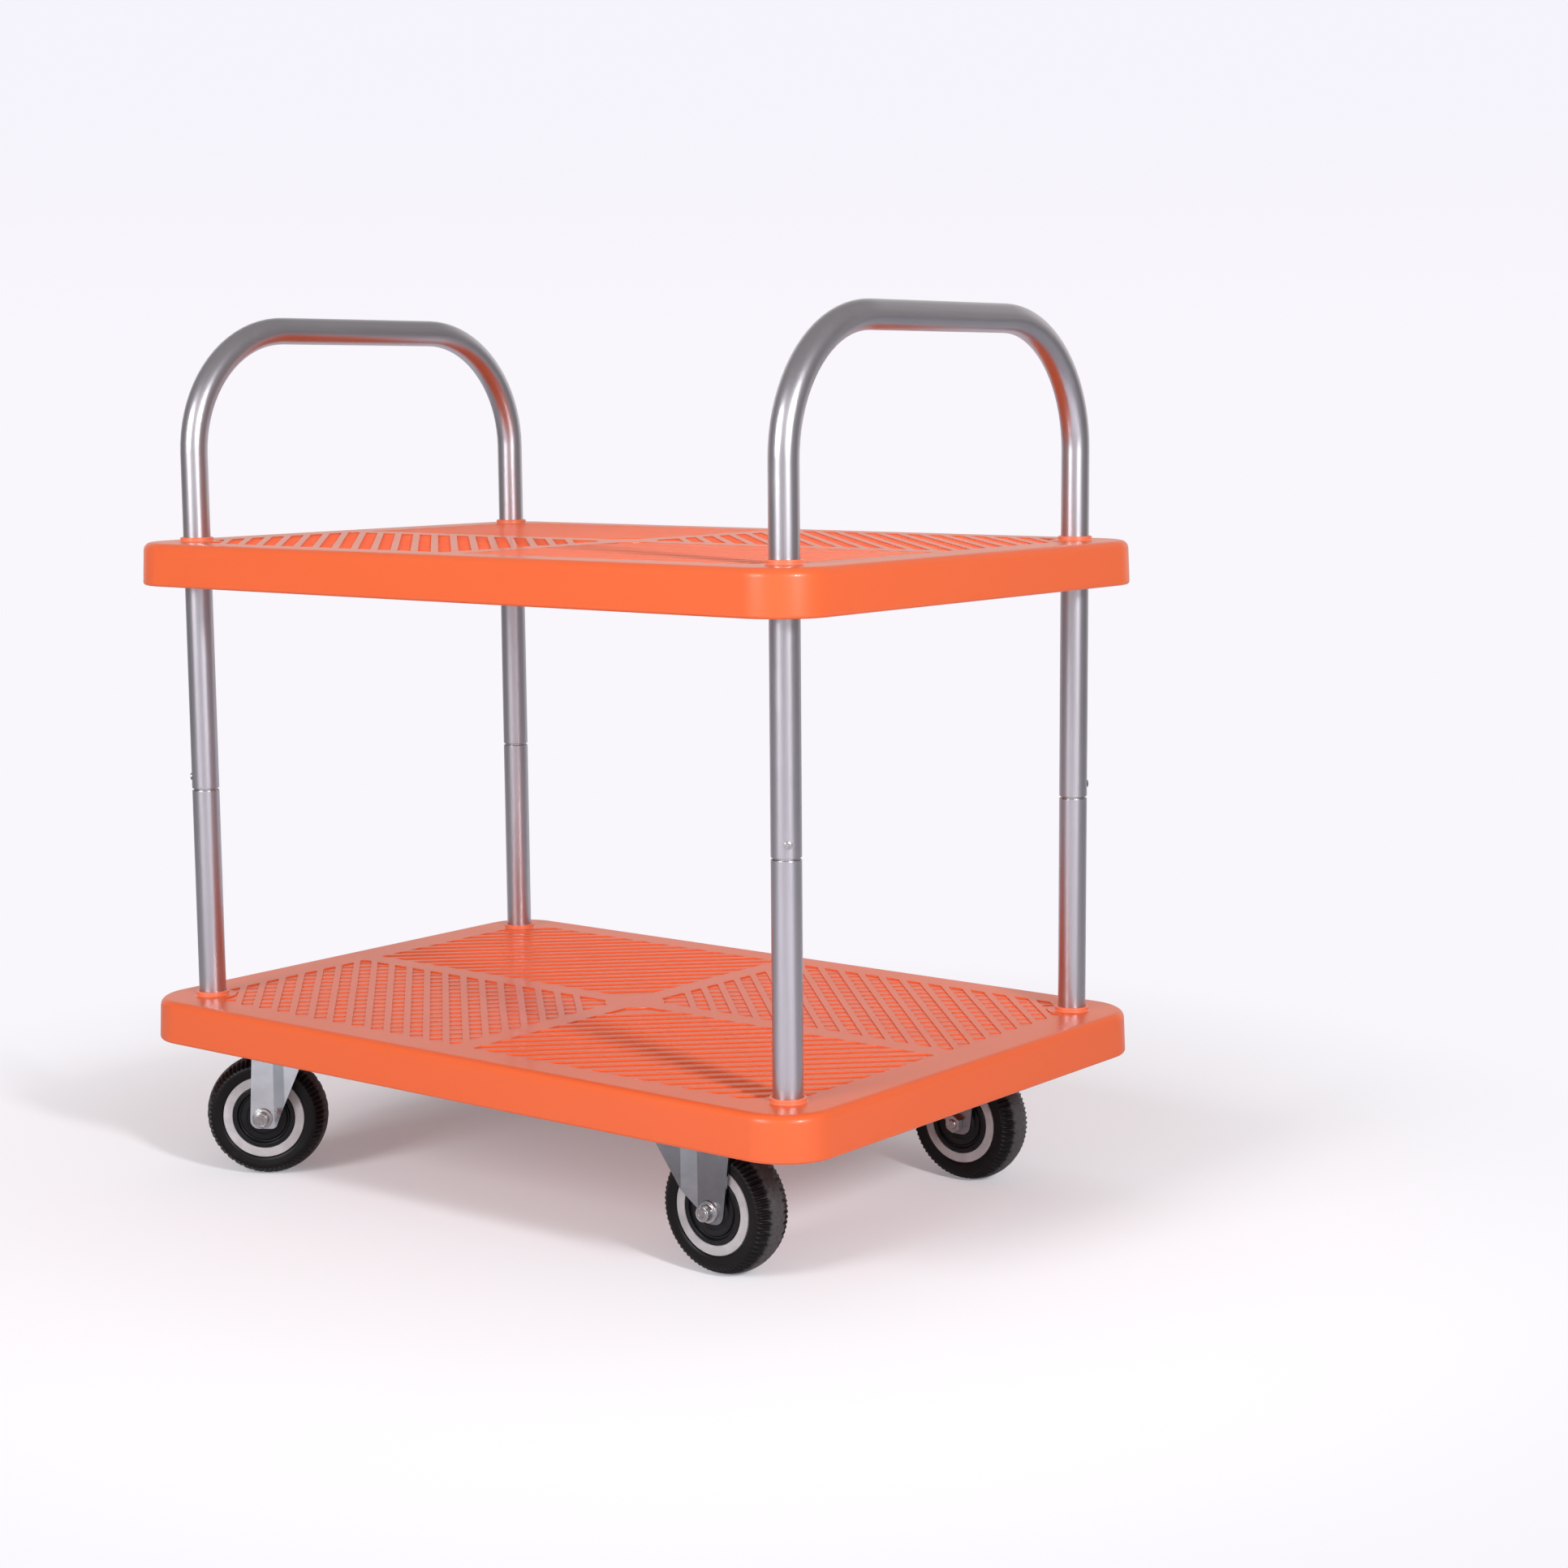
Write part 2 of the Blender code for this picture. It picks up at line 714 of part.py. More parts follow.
def make_fork(prefix, parent):
    """A swivel caster's fork: crown and legs in one pressing."""
    axle_x = -swivel_trail
    foot = wheel_centre_height - leg_drop
    corners = [
        (-fork_crown_back, crown_top - embed),
        (axle_x - fork_foot_back, foot),
        (axle_x + fork_foot_front, foot),
        (fork_crown_front, crown_top - embed),
    ]
    side_view = rounded_outline(corners, [0, fork_foot_round, leg_front_round, 0], leg_round_steps)
    mesh = prism("crown", crown_outline(), crown_underside, crown_top)
    for leg in leg_pair(side_view, axle_x):
        mesh = combine(mesh, leg, "UNION")
    pin_hole = circle(0, 0, clear_round(kingpin_radius + running_gap, axle_segments), axle_segments)
    holes = [prism("hole", pin_hole, crown_underside - overrun, crown_top + overrun), axle_hole(axle_x)]
    mesh = combine(mesh, joined(holes))
    fork = finish_object(prefix + "_fork", mesh, zinc_steel)
    place(fork, parent)


def axle_hole(axle_x):
    """The cutter for the axle's holes through both legs."""
    centre = (axle_x, 0, wheel_centre_height)
    return rod(centre, (0, 1, 0), axle_radius + seat_gap, -2 * leg_outer, 2 * leg_outer, axle_segments)


def plate_mesh():
    """A caster's top plate with round corners and four bolt holes, centred on the caster."""
    corners = rectangle(0, 0, caster_plate_length, caster_plate_width)
    outline = rounded_outline(corners, [caster_plate_corner] * len(corners), caster_plate_corner_steps)
    mesh = prism("plate", outline, caster_plate_underside, caster_height)
    holes = []
    for side_x in (1, -1):
        for side_y in (1, -1):
            x = side_x * caster_bolt_spacing_x / 2
            y = side_y * caster_bolt_spacing_y / 2
            hole = circle(x, y, caster_bolt_hole_radius, fastener_segments)
            holes.append(prism("hole", hole, caster_plate_underside - overrun, caster_height + overrun))
    return combine(mesh, joined(holes))


def make_bracket(prefix, parent):
    """A fixed caster's bracket: top plate and legs in one pressing, the long side facing the middle."""
    axle_x = -fixed_axle_offset
    foot = wheel_centre_height - leg_drop
    corners = [
        (axle_x - bracket_top_back, caster_height - embed),
        (axle_x - bracket_foot_back, foot),
        (axle_x + bracket_foot_front, foot),
        (axle_x + bracket_top_front, caster_height - embed),
    ]
    side_view = rounded_outline(corners, [0, bracket_foot_round, leg_front_round, 0], leg_round_steps)
    mesh = plate_mesh()
    for leg in leg_pair(side_view, axle_x):
        mesh = combine(mesh, leg, "UNION")
    mesh = combine(mesh, axle_hole(axle_x))
    bracket = finish_object(prefix + "_bracket", mesh, zinc_steel)
    place(bracket, parent)


def make_swivel_head(prefix, parent):
    """What a fork turns on: the top plate, the ball race below it and the kingpin."""
    mesh = plate_mesh()
    pin_hole = circle(0, 0, clear_round(kingpin_radius + seat_gap, axle_segments), axle_segments)
    flange_hole = circle(0, 0, clear_round(kingpin_flange_radius + seat_gap, axle_segments), axle_segments)
    flange_floor = caster_height - kingpin_flange - seat_gap
    mesh = combine(mesh, prism("hole", pin_hole, caster_plate_underside - overrun, caster_height))
    mesh = combine(mesh, prism("recess", flange_hole, flange_floor, caster_height + overrun))
    place(finish_object(prefix + "_swivel_plate", mesh, zinc_steel), parent)

    low = crown_top + seat_gap
    high = low + race_height
    profile = [
        (race_radius - race_lip, low),
        (race_radius, low + race_lip),
        (race_radius, high),
        (race_inner_radius, high),
        (race_inner_radius, low),
    ]
    race = finish_object(prefix + "_ball_race", turned("race", profile, wheel_segments), zinc_steel)
    place(race, parent)

    head_top = crown_underside - seat_gap
    profile = [
        (0, caster_height),
        (kingpin_flange_radius, caster_height),
        (kingpin_flange_radius, caster_height - kingpin_flange),
        (kingpin_radius, caster_height - kingpin_flange),
        (kingpin_radius, head_top),
        (kingpin_head_radius, head_top),
        (kingpin_head_radius, head_top - kingpin_head_height),
        (0, head_top - kingpin_head_height),
    ]
    mesh = turned("pin", profile, axle_segments, solid=True)
    place(finish_object(prefix + "_kingpin", mesh, bright_steel), parent)


def make_wheel(prefix, axle, side):
    """Tyre, rim and the two hub caps, turned about the axle's own Z axis."""
    half = [
        (rim_radius + seat_gap, tyre_half_width - tyre_wall_inset),
        (tyre_wall_radius, tyre_half_width),
        (tyre_radius - tyre_shoulder_drop, tyre_shoulder_half_width),
        (tyre_radius - tyre_tread_drop, tyre_tread_half_width),
        (tyre_radius, tyre_crown_half_width),
    ]
    profile = half + [(r, -h) for r, h in reversed(half)]
    place(finish_object(prefix + "_tyre", turned("tyre", profile, wheel_segments), black_rubber), axle)

    bore = clear_round(bush_radius + running_gap, wheel_segments)
    well = rim_radius - rim_ring
    half = [
        (rim_radius, rim_half_width),
        (well, rim_half_width),
        (well, rim_web / 2),
        (hub_radius, rim_web / 2),
        (hub_radius, hub_half_length),
        (bore, hub_half_length),
    ]
    profile = half + [(r, -h) for r, h in reversed(half)]
    place(finish_object(prefix + "_rim", turned("rim", profile, wheel_segments), grey_plastic), axle)

    bore = clear_round(bush_radius + running_gap, cap_segments)
    edge = (well - seat_gap) * math.cos(math.pi / wheel_segments)
    face = rim_half_width + cap_height
    groove = face - cap_groove_depth
    hub_face = hub_half_length + seat_gap
    profile = [
        (edge, groove - cap_sheet),
        (edge, face),
        (edge - cap_lip, face),
        (edge - cap_lip - cap_height, groove),
        (edge - cap_lip - cap_groove, groove),
        (cap_collar_radius + cap_sheet, hub_face + cap_sheet),
        (bore, hub_face + cap_sheet),
        (bore, hub_face),
        (cap_collar_radius, hub_face),
        (edge - cap_lip - cap_groove, groove - cap_sheet),
    ]
    for word, sign in (("outer", side), ("inner", -side)):
        mesh = turned("cap", [(r, sign * h) for r, h in profile], cap_segments)
        place(finish_object(prefix + "_" + word + "_cap", mesh, black_plastic), axle)


def make_axle(prefix, axle, side):
    """Bolt, nut and bush: the bolt's round head is on the outer side of the trolley."""
    seat = leg_outer + seat_gap
    end = seat + axle_nut_height + axle_thread_end
    profile = [
        (0, side * (seat + axle_head_height)),
        (axle_head_radius - axle_head_edge, side * (seat + axle_head_height)),
        (axle_head_radius, side * (seat + axle_head_height - axle_head_edge)),
        (axle_head_radius, side * seat),
        (axle_radius, side * seat),
        (axle_radius, -side * end),
        (0, -side * end),
    ]
    mesh = turned("bolt", profile, axle_segments, solid=True)
    place(finish_object(prefix + "_axle_bolt", mesh, bright_steel), axle)

    bore = clear_round(axle_radius + seat_gap, axle_nut_sides)
    profile = [
        (axle_nut_radius, -side * seat),
        (axle_nut_radius, -side * (seat + axle_nut_height)),
        (bore, -side * (seat + axle_nut_height)),
        (bore, -side * seat),
    ]
    place(finish_object(prefix + "_axle_nut", turned("nut", profile, axle_nut_sides), bright_steel), axle)

    half = leg_inner - seat_gap
    bore = clear_round(axle_radius + seat_gap, axle_segments)
    profile = [(bush_radius, half), (bush_radius, -half), (bore, -half), (bore, half)]
    place(finish_object(prefix + "_axle_bush", turned("bush", profile, axle_segments), bright_steel), axle)


def make_casters():
    """Two swivel casters at the rear and two fixed ones at the front."""
    across = (-math.pi / 2, 0, 0)
    for hand, side in (("left", 1), ("right", -1)):
        prefix = "rear_" + hand
        plate = axis_empty(prefix + "_caster_place", (swivel_x, side * swivel_y, 0))
        make_swivel_head(prefix, plate)
        swivel = axis_empty(prefix + "_swivel_axis", (swivel_x, side * swivel_y, 0), (0, 0, swivel_yaw))
        make_fork(prefix, swivel)
        axle_place = (-swivel_trail, 0, wheel_centre_height)
        fork_axle = axis_empty(prefix + "_axle_axis", axle_place, across, swivel)
        make_axle(prefix, fork_axle, side)
        wheel = axis_empty(prefix + "_wheel_axis", axle_place, across, swivel)
        make_wheel(prefix, wheel, side)

        prefix = "front_" + hand
        fixed_x = fixed_wheel_x - fixed_axle_offset
        plate = axis_empty(prefix + "_caster_place", (fixed_x, side * fixed_wheel_y, 0), (0, 0, math.pi))
        make_bracket(prefix, plate)
        wheel_place = (fixed_wheel_x, side * fixed_wheel_y, wheel_centre_height)
        bracket_axle = axis_empty(prefix + "_axle_axis", wheel_place, across)
        make_axle(prefix, bracket_axle, side)
        wheel = axis_empty(prefix + "_wheel_axis", wheel_place, across)
        make_wheel(prefix, wheel, side)


def main():
    """Build the whole trolley."""
    clear_scene()
    make_deck("lower_deck", lower_deck_underside, on_casters=True)
    make_deck("upper_deck", upper_deck_underside, on_casters=False)
    make_handle("front", 1)
    make_handle("rear", -1)
    for corner, x, y, side_x, side_y in four_posts():
        make_post(corner, x, y, side_x, side_y)
        make_deck_screw(corner, x, y, side_x, side_y)
    make_casters()


main()
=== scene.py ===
import math

import bmesh
import bpy
from mathutils import Matrix, Vector


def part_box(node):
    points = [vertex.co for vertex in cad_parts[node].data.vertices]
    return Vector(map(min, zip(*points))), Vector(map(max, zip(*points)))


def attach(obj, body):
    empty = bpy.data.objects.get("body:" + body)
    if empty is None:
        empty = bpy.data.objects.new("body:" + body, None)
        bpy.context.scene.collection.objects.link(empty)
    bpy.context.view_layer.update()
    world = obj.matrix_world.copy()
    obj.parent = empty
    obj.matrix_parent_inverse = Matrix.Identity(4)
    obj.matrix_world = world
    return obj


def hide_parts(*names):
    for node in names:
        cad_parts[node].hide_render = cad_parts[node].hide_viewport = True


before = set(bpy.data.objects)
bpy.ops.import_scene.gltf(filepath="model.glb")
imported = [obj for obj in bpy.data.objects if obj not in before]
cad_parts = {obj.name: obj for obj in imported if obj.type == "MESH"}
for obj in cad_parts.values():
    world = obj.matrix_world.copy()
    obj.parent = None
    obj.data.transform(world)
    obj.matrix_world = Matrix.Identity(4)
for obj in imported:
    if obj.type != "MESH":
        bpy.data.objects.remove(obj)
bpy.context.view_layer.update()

bl_info = {
    "name": "Two-tier platform trolley",
    "version": (1, 0, 0),
    "blender": (4, 5, 0),
    "location": "3D View > Sidebar > Trolley",
    "description": "Models the finished pieces of a two-tier platform trolley around its frame",
    "category": "Add Mesh",
}

LOWER_DECK_LOW, LOWER_DECK_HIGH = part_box("lower_deck")
UPPER_DECK_LOW, UPPER_DECK_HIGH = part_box("upper_deck")
HANDLE_LOW, HANDLE_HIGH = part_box("front_handle")
POST_LOW, POST_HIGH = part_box("front_left_post")
SLEEVE_LOW, SLEEVE_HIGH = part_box("front_left_coupling")
PLATE_LOW, PLATE_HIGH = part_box("rear_left_swivel_plate")
BRACKET_LOW, BRACKET_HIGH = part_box("front_left_bracket")
FORK_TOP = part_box("rear_left_fork")[1].z
TYRE_LOW, TYRE_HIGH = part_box("front_left_tyre")

POST_X = (POST_LOW.x + POST_HIGH.x) / 2
POST_Y = (POST_LOW.y + POST_HIGH.y) / 2
TUBE_RADIUS = (POST_HIGH.x - POST_LOW.x) / 2
SWIVEL_X = (PLATE_LOW.x + PLATE_HIGH.x) / 2
CASTER_Y = (PLATE_LOW.y + PLATE_HIGH.y) / 2
FIXED_PLATE_X = (BRACKET_LOW.x + BRACKET_HIGH.x) / 2
FIXED_WHEEL_X = (TYRE_LOW.x + TYRE_HIGH.x) / 2
AXLE_HEIGHT = TYRE_HIGH.z / 2
CASTER_HEIGHT = PLATE_HIGH.z
SWIVEL_YAW = math.radians(35)

CORNERS = (
    ("front_left", 1, 1),
    ("front_right", 1, -1),
    ("rear_left", -1, 1),
    ("rear_right", -1, -1),
)
PLATE_HOLES = ((0.040, 0.030), (0.040, -0.030), (-0.040, 0.030), (-0.040, -0.030))
HALF_TURN = (0, 0, math.pi)
CORNER_STEPS = 14
AXLE_BORE = 0.0053
HUB_BORE = 0.0077
OVERRUN = 0.002
SEAT_GAP = 0.0003
MERGE_DISTANCE = 0.000001
SMOOTH_ANGLE = math.radians(32)
WEB_FLARE = math.radians(3)

# The studio's colours and shares, and the level direction from the trolley to the camera.
BACKDROP = (0.918, 0.900, 0.968)
HORIZON = (0.950, 0.928, 0.975)
STUDIO_LIGHT = (1.0, 0.98, 0.94, 1)
# Colour of the painted shade that only reflections of the floor see.
REFLECTION_SHADE = (0.02, 0.02, 0.023)
FLOOR_LIFT = 0.20
FLOOR_GAIN = 1.03
TOWARDS_CAMERA = (0.53, -0.85, 0)


def length(name, description, default):
    """A property that holds a length in metres."""
    words = {"name": name, "description": description}
    return bpy.props.FloatProperty(**words, default=default, unit="LENGTH", precision=4)


def colour(name, description, default):
    """A property that holds a colour."""
    words = {"name": name, "description": description}
    return bpy.props.FloatVectorProperty(**words, default=default, subtype="COLOR", size=3)


class DeckSizes(bpy.types.PropertyGroup):
    """Sizes of a moulded deck and of its tread."""

    depth: length("Depth", "Height of the deck's skirt", 0.045)
    corner_radius: length("Corner radius", "Radius of the deck's corners in plan", 0.055)
    top_edge: length("Top edge", "Radius of the edge round the top", 0.008)
    foot_edge: length("Foot edge", "Radius of the edge round the foot", 0.0035)
    draft: length("Draft", "How far the sides lean in over their height", 0.0015)
    wall: length("Wall", "Thickness of the skirt", 0.004)
    skin: length("Skin", "Thickness of the top", 0.006)
    rib: length("Rib", "Thickness of the ribs below", 0.003)
    boss_radius: length("Boss radius", "Outside radius of the post bosses below", TUBE_RADIUS + 0.0065)
    collar_radius: length("Collar radius", "Outside radius of the collars round the tubes", 0.0175)
    collar_height: length("Collar height", "Height of the collars above the deck", 0.0045)
    band: length("Band", "Width of the plain bands between the tread fields", 0.027)
    end_margin: length("End margin", "Plain border at the deck's short ends", 0.051)
    side_margin: length("Side margin", "Plain border at the deck's long sides", 0.0405)
    pitch: length("Pitch", "Spacing of the tread's bars", 0.020)
    bar: length("Bar", "Width of a tread bar", 0.0075)
    tread_depth: length("Tread depth", "Depth of the strips between the bars", 0.0015)
    centre_radius: length("Centre radius", "Radius of the plain middle", 0.032)
    post_clearance: length("Post clearance", "Radius of the plain spot round a post", 0.0255)
    cross_rib: length("Cross rib", "Width of the low ribs that cross the strips", 0.0022)
    cross_rib_drop: length("Cross rib drop", "How far the low ribs lie below the bars", 0.0007)
    strip_corner: length("Strip corner", "Radius of the strips' corners in plan", 0.0018)
    bar_edge: length("Bar edge", "Radius of the bars' edges", 0.0006)


class TubeSizes(bpy.types.PropertyGroup):
    """Sizes of the posts, the handles and their couplings."""

    wall: length("Wall", "Thickness of the tube wall", 0.0015)
    bend_radius: length("Bend radius", "Radius of the handle's bends on the centre line", 0.130)
    rim: length("Rim", "Radius of the tube ends' edges", 0.0006)
    rivet_rise: length("Rivet rise", "Height of the rivet above the seam", 0.0135)
    rivet_radius: length("Rivet radius", "Radius of the rivet's head", 0.004)
    rivet_bore: length("Rivet bore", "Radius of the hole in the rivet's head", 0.0015)


class WheelSizes(bpy.types.PropertyGroup):
    """Sizes of a wheel."""

    radius: length("Radius", "Radius of the tyre", AXLE_HEIGHT)
    half_width: length("Half width", "Half the width of the tyre", 0.023)
    rim_radius: length("Rim radius", "Radius of the seat between tyre and rim", 0.044)
    ring: length("Ring", "Width of the rim's grey ring", 0.010)
    lug_depth: length("Lug depth", "Depth of the notches between the shoulder lugs", 0.0026)
    lugs: bpy.props.IntProperty(name="Lugs", description="Number of lugs round each shoulder", default=72)


class CasterSizes(bpy.types.PropertyGroup):
    """Sizes of the casters' pressings and axles."""

    sheet: length("Sheet", "Thickness of the fork sheet", 0.0025)
    leg_inner: length("Leg inner", "Distance of a leg's inner face from the middle", 0.0237)
    bend: length("Bend", "Distance of the joggle from the axle", 0.0135)
    joggle_run: length("Joggle run", "Length of the joggle", 0.0125)
    joggle: length("Joggle", "How far the joggle steps out", 0.009)
    bend_radius: length("Bend radius", "Radius of the sheet's bends", 0.004)
    trail: length("Trail", "Distance of the axle behind the swivel", 0.035)
    drop: length("Drop", "How far the legs reach below the axle", 0.0115)
    plate_length: length("Plate length", "Length of the top plate", 0.114)
    plate_width: length("Plate width", "Width of the top plate", 0.090)
    plate_thickness: length("Plate thickness", "Thickness of the top plate", 0.003)
    head_radius: length("Head radius", "Radius of the axle's head", 0.0078)
    head_height: length("Head height", "Height of the axle's head", 0.0105)


class FinishColours(bpy.types.PropertyGroup):
    """Colours of the trolley's materials."""

    deck: colour("Deck", "Moulded plastic of the decks", (0.80, 0.124, 0.032))
    # Also used, paler still, for a painted sheen on the collars round the posts.
    deck_worn_and_sheen: colour("Deck, worn", "The same plastic where it is rubbed", (0.85, 0.172, 0.056))
    tube: colour("Tube", "Brushed steel of the tubes", (0.62, 0.592, 0.658))
    zinc: colour("Zinc", "Zinc plating of the swivel forks and plates", (0.76, 0.82, 0.89))
    # Painted shade: the same zinc plating, darkened for the fixed brackets, which stand in shade under the
    # deck.
    shaded_zinc: colour("Dull zinc", "Darker plating of the fixed brackets", (0.37, 0.395, 0.43))
    bright: colour("Bright", "Plating of the fasteners", (0.56, 0.56, 0.58))
    rubber: colour("Rubber", "Rubber of the tyres", (0.007, 0.006, 0.007))
    dust: colour("Dust", "Dust on the tread of the tyres", (0.085, 0.080, 0.083))
    rim: colour("Rim", "Grey plastic of the rims", (0.47, 0.45, 0.47))
    cap: colour("Cap", "Black plastic of the hub caps", (0.006, 0.006, 0.008))
    floor: colour("Floor", "Floor and backdrop", (0.84, 0.84, 0.88))


def choose(*pieces):
    """Select only these pieces and make the first one active."""
    bpy.ops.object.select_all(action="DESELECT")
    for piece in pieces:
        piece.select_set(True)
    bpy.context.view_layer.objects.active = pieces[0]


def settle(name):
    """Name the new piece and put its place into its mesh."""
    piece = bpy.context.object
    piece.name = name
    piece.data.name = name
    bpy.ops.object.transform_apply(location=True, rotation=True, scale=True)
    return piece


def add_box(name, low, high):
    """A box between two corners."""
    bpy.ops.object.select_all(action="DESELECT")
    low = Vector(low)
    high = Vector(high)
    bpy.ops.mesh.primitive_cube_add(size=1, location=(low + high) / 2, scale=high - low)
    return settle(name)


def add_rod(name, centre, radius, low, high, sides):
    """An upright round bar."""
    bpy.ops.object.select_all(action="DESELECT")
    place = (centre[0], centre[1], (low + high) / 2)
    bpy.ops.mesh.primitive_cylinder_add(vertices=sides, radius=radius, depth=high - low, location=place)
    return settle(name)


def edit(piece, kind="EDGE"):
    """Open a piece in edit mode with nothing selected."""
    choose(piece)
    bpy.ops.object.mode_set(mode="EDIT")
    bpy.ops.mesh.select_mode(type=kind)
    bpy.ops.mesh.select_all(action="DESELECT")
    return bmesh.from_edit_mesh(piece.data)


def leave():
    """Go back to object mode."""
    bpy.ops.object.mode_set(mode="OBJECT")


def select_whole():
    """Select the whole mesh in edit mode."""
    bpy.ops.mesh.select_all(action="SELECT")


def face_outwards(doubles=0):
    """Merge the mesh's doubles where a distance is given, turn its faces outwards, leave edit mode."""
    select_whole()
    if doubles:
        bpy.ops.mesh.remove_doubles(threshold=doubles)
    bpy.ops.mesh.normals_make_consistent(inside=False)
    leave()


def spin(steps, angle, apart=False):
    """Spin what is selected about the Y axis, as one skin or as copies that stand apart."""
    bpy.ops.mesh.spin(steps=steps, dupli=apart, angle=angle, center=(0, 0, 0), axis=(0, 1, 0))


def round_edges(piece, test, width, segments):
    """Bevel the edges that pass a test."""
    shape = edit(piece)
    for edge in shape.edges:
        edge.select_set(test(edge))
    bmesh.update_edit_mesh(piece.data)
    bpy.ops.mesh.bevel(offset=width, segments=segments, affect="EDGES", clamp_overlap=False)
    leave()


def upright(edge):
    """Whether an edge stands upright."""
    low, high = edge.verts
    return abs(low.co.x - high.co.x) + abs(low.co.y - high.co.y) < MERGE_DISTANCE


def strip_corner(edge):
    """Whether an upright edge is a real corner and not a step of a round one."""
    return upright(edge) and edge.calc_face_angle(0) > math.radians(35)


def level_at(height):
    """A test for edges that lie at a height."""
    return lambda edge: all(abs(vert.co.z - height) < MERGE_DISTANCE for vert in edge.verts)


def modify(piece, kind, **settings):
    """Put a modifier on a piece and apply it."""
    choose(piece)
    bpy.ops.object.modifier_add(type=kind)
    modifier = piece.modifiers[-1]
    for name, value in settings.items():
        setattr(modifier, name, value)
    bpy.ops.object.modifier_apply(modifier=modifier.name)


def combine(piece, tool, operation="DIFFERENCE"):
    """Cut, join or intersect a piece with another one, which goes."""
    modify(piece, "BOOLEAN", operation=operation, solver="EXACT", object=tool)
    discard(tool)
    return piece


def discard(*pieces):
    """Remove pieces that were only tools or patterns for copies."""
    for piece in pieces:
        bpy.data.objects.remove(piece)


def soften(piece, width, segments=2, angle=40):
    """Round every edge sharper than an angle."""
    modify(
        piece,
        "BEVEL",
        width=width,
        segments=segments,
        limit_method="ANGLE",
        angle_limit=math.radians(angle),
        use_clamp_overlap=True,
    )
    return piece


def repeat(piece, count, step):
    """A row of copies of a piece, a step apart."""
    modify(
        piece,
        "ARRAY",
        count=count,
        use_relative_offset=False,
        use_constant_offset=True,
        constant_offset_displace=step,
    )
    return piece


def merge(*pieces):
    """Join pieces into the first one."""
    choose(*pieces)
    bpy.ops.object.join()
    return pieces[0]


def copy_of(piece, name):
    """A copy of a piece with its own mesh."""
    choose(piece)
    bpy.ops.object.duplicate(linked=False)
    twin = bpy.context.object
    twin.name = name
    twin.data.name = name
    return twin


def put(piece, location=(0, 0, 0), turn=(0, 0, 0)):
    """Turn a piece about the origin, move it, and put both into its mesh."""
    choose(piece)
    piece.rotation_euler = turn
    piece.location = location
    bpy.ops.object.transform_apply(location=True, rotation=True, scale=True)
    return piece


def trace(name, points, closed):
    """Draw a line of vertices from point to point."""
    bpy.ops.object.select_all(action="DESELECT")
    bpy.ops.mesh.primitive_plane_add(size=MERGE_DISTANCE, location=points[0])
    piece = settle(name)
    edit(piece, "VERT")
    select_whole()
    bpy.ops.mesh.merge(type="CENTER")
    for here, there in zip(points, points[1:]):
        step = Vector(there) - Vector(here)
        bpy.ops.mesh.extrude_vertices_move(TRANSFORM_OT_translate={"value": step})
    if closed:
        shape = bmesh.from_edit_mesh(piece.data)
        for vert in shape.verts:
            vert.select_set(len(vert.link_edges) == 1)
        bpy.ops.mesh.edge_face_add()
    return piece


def extrude(name, points, step):
    """A closed outline, filled and drawn out by a step."""
    piece = trace(name, points, closed=True)
    select_whole()
    bpy.ops.mesh.edge_face_add()
    select_whole()
    draw_out(*step)
    face_outwards()
    return piece


def draw_out(*step):
    """Extrude what is selected by a step."""
    bpy.ops.mesh.extrude_region_move(TRANSFORM_OT_translate={"value": step})


def lathe(name, profile, steps, closed=True):
    """Spin a profile of (radius, distance) points about the Y axis."""
    piece = trace(name, [(radius, along, 0) for radius, along in profile], closed)
    select_whole()
    spin(steps, 2 * math.pi)
    face_outwards(MERGE_DISTANCE)
    return piece


def rounded(corners, radii, steps, closed=True):
    """A line of corners, each turned on its own radius."""
    outline = []
    count = len(corners)
    for index, corner in enumerate(corners):
        here = Vector(corner)
        radius = radii[index] if isinstance(radii, (list, tuple)) else radii
        inner = closed or 0 < index < count - 1
        if radius == 0 or not inner:
            outline.append(tuple(here))
            continue
        back = (Vector(corners[index - 1]) - here).normalized()
        ahead = (Vector(corners[(index + 1) % count]) - here).normalized()
        half_angle = back.angle(ahead) / 2
        if half_angle > math.radians(89):
            outline.append(tuple(here))
            continue
        centre = here + (back + ahead).normalized() * (radius / math.sin(half_angle))
        start = here + back * (radius / math.tan(half_angle)) - centre
        turn = start.angle_signed(here + ahead * (radius / math.tan(half_angle)) - centre)
        for step in range(steps + 1):
            swung = start.copy()
            swung.rotate(Matrix.Rotation(-turn * step / steps, 2))
            outline.append(tuple(centre + swung))
    return outline


def mirrored_profile(half):
    """A profile and its mirror image across the wheel's middle."""
    return half + [(radius, -along) for radius, along in reversed(half)]


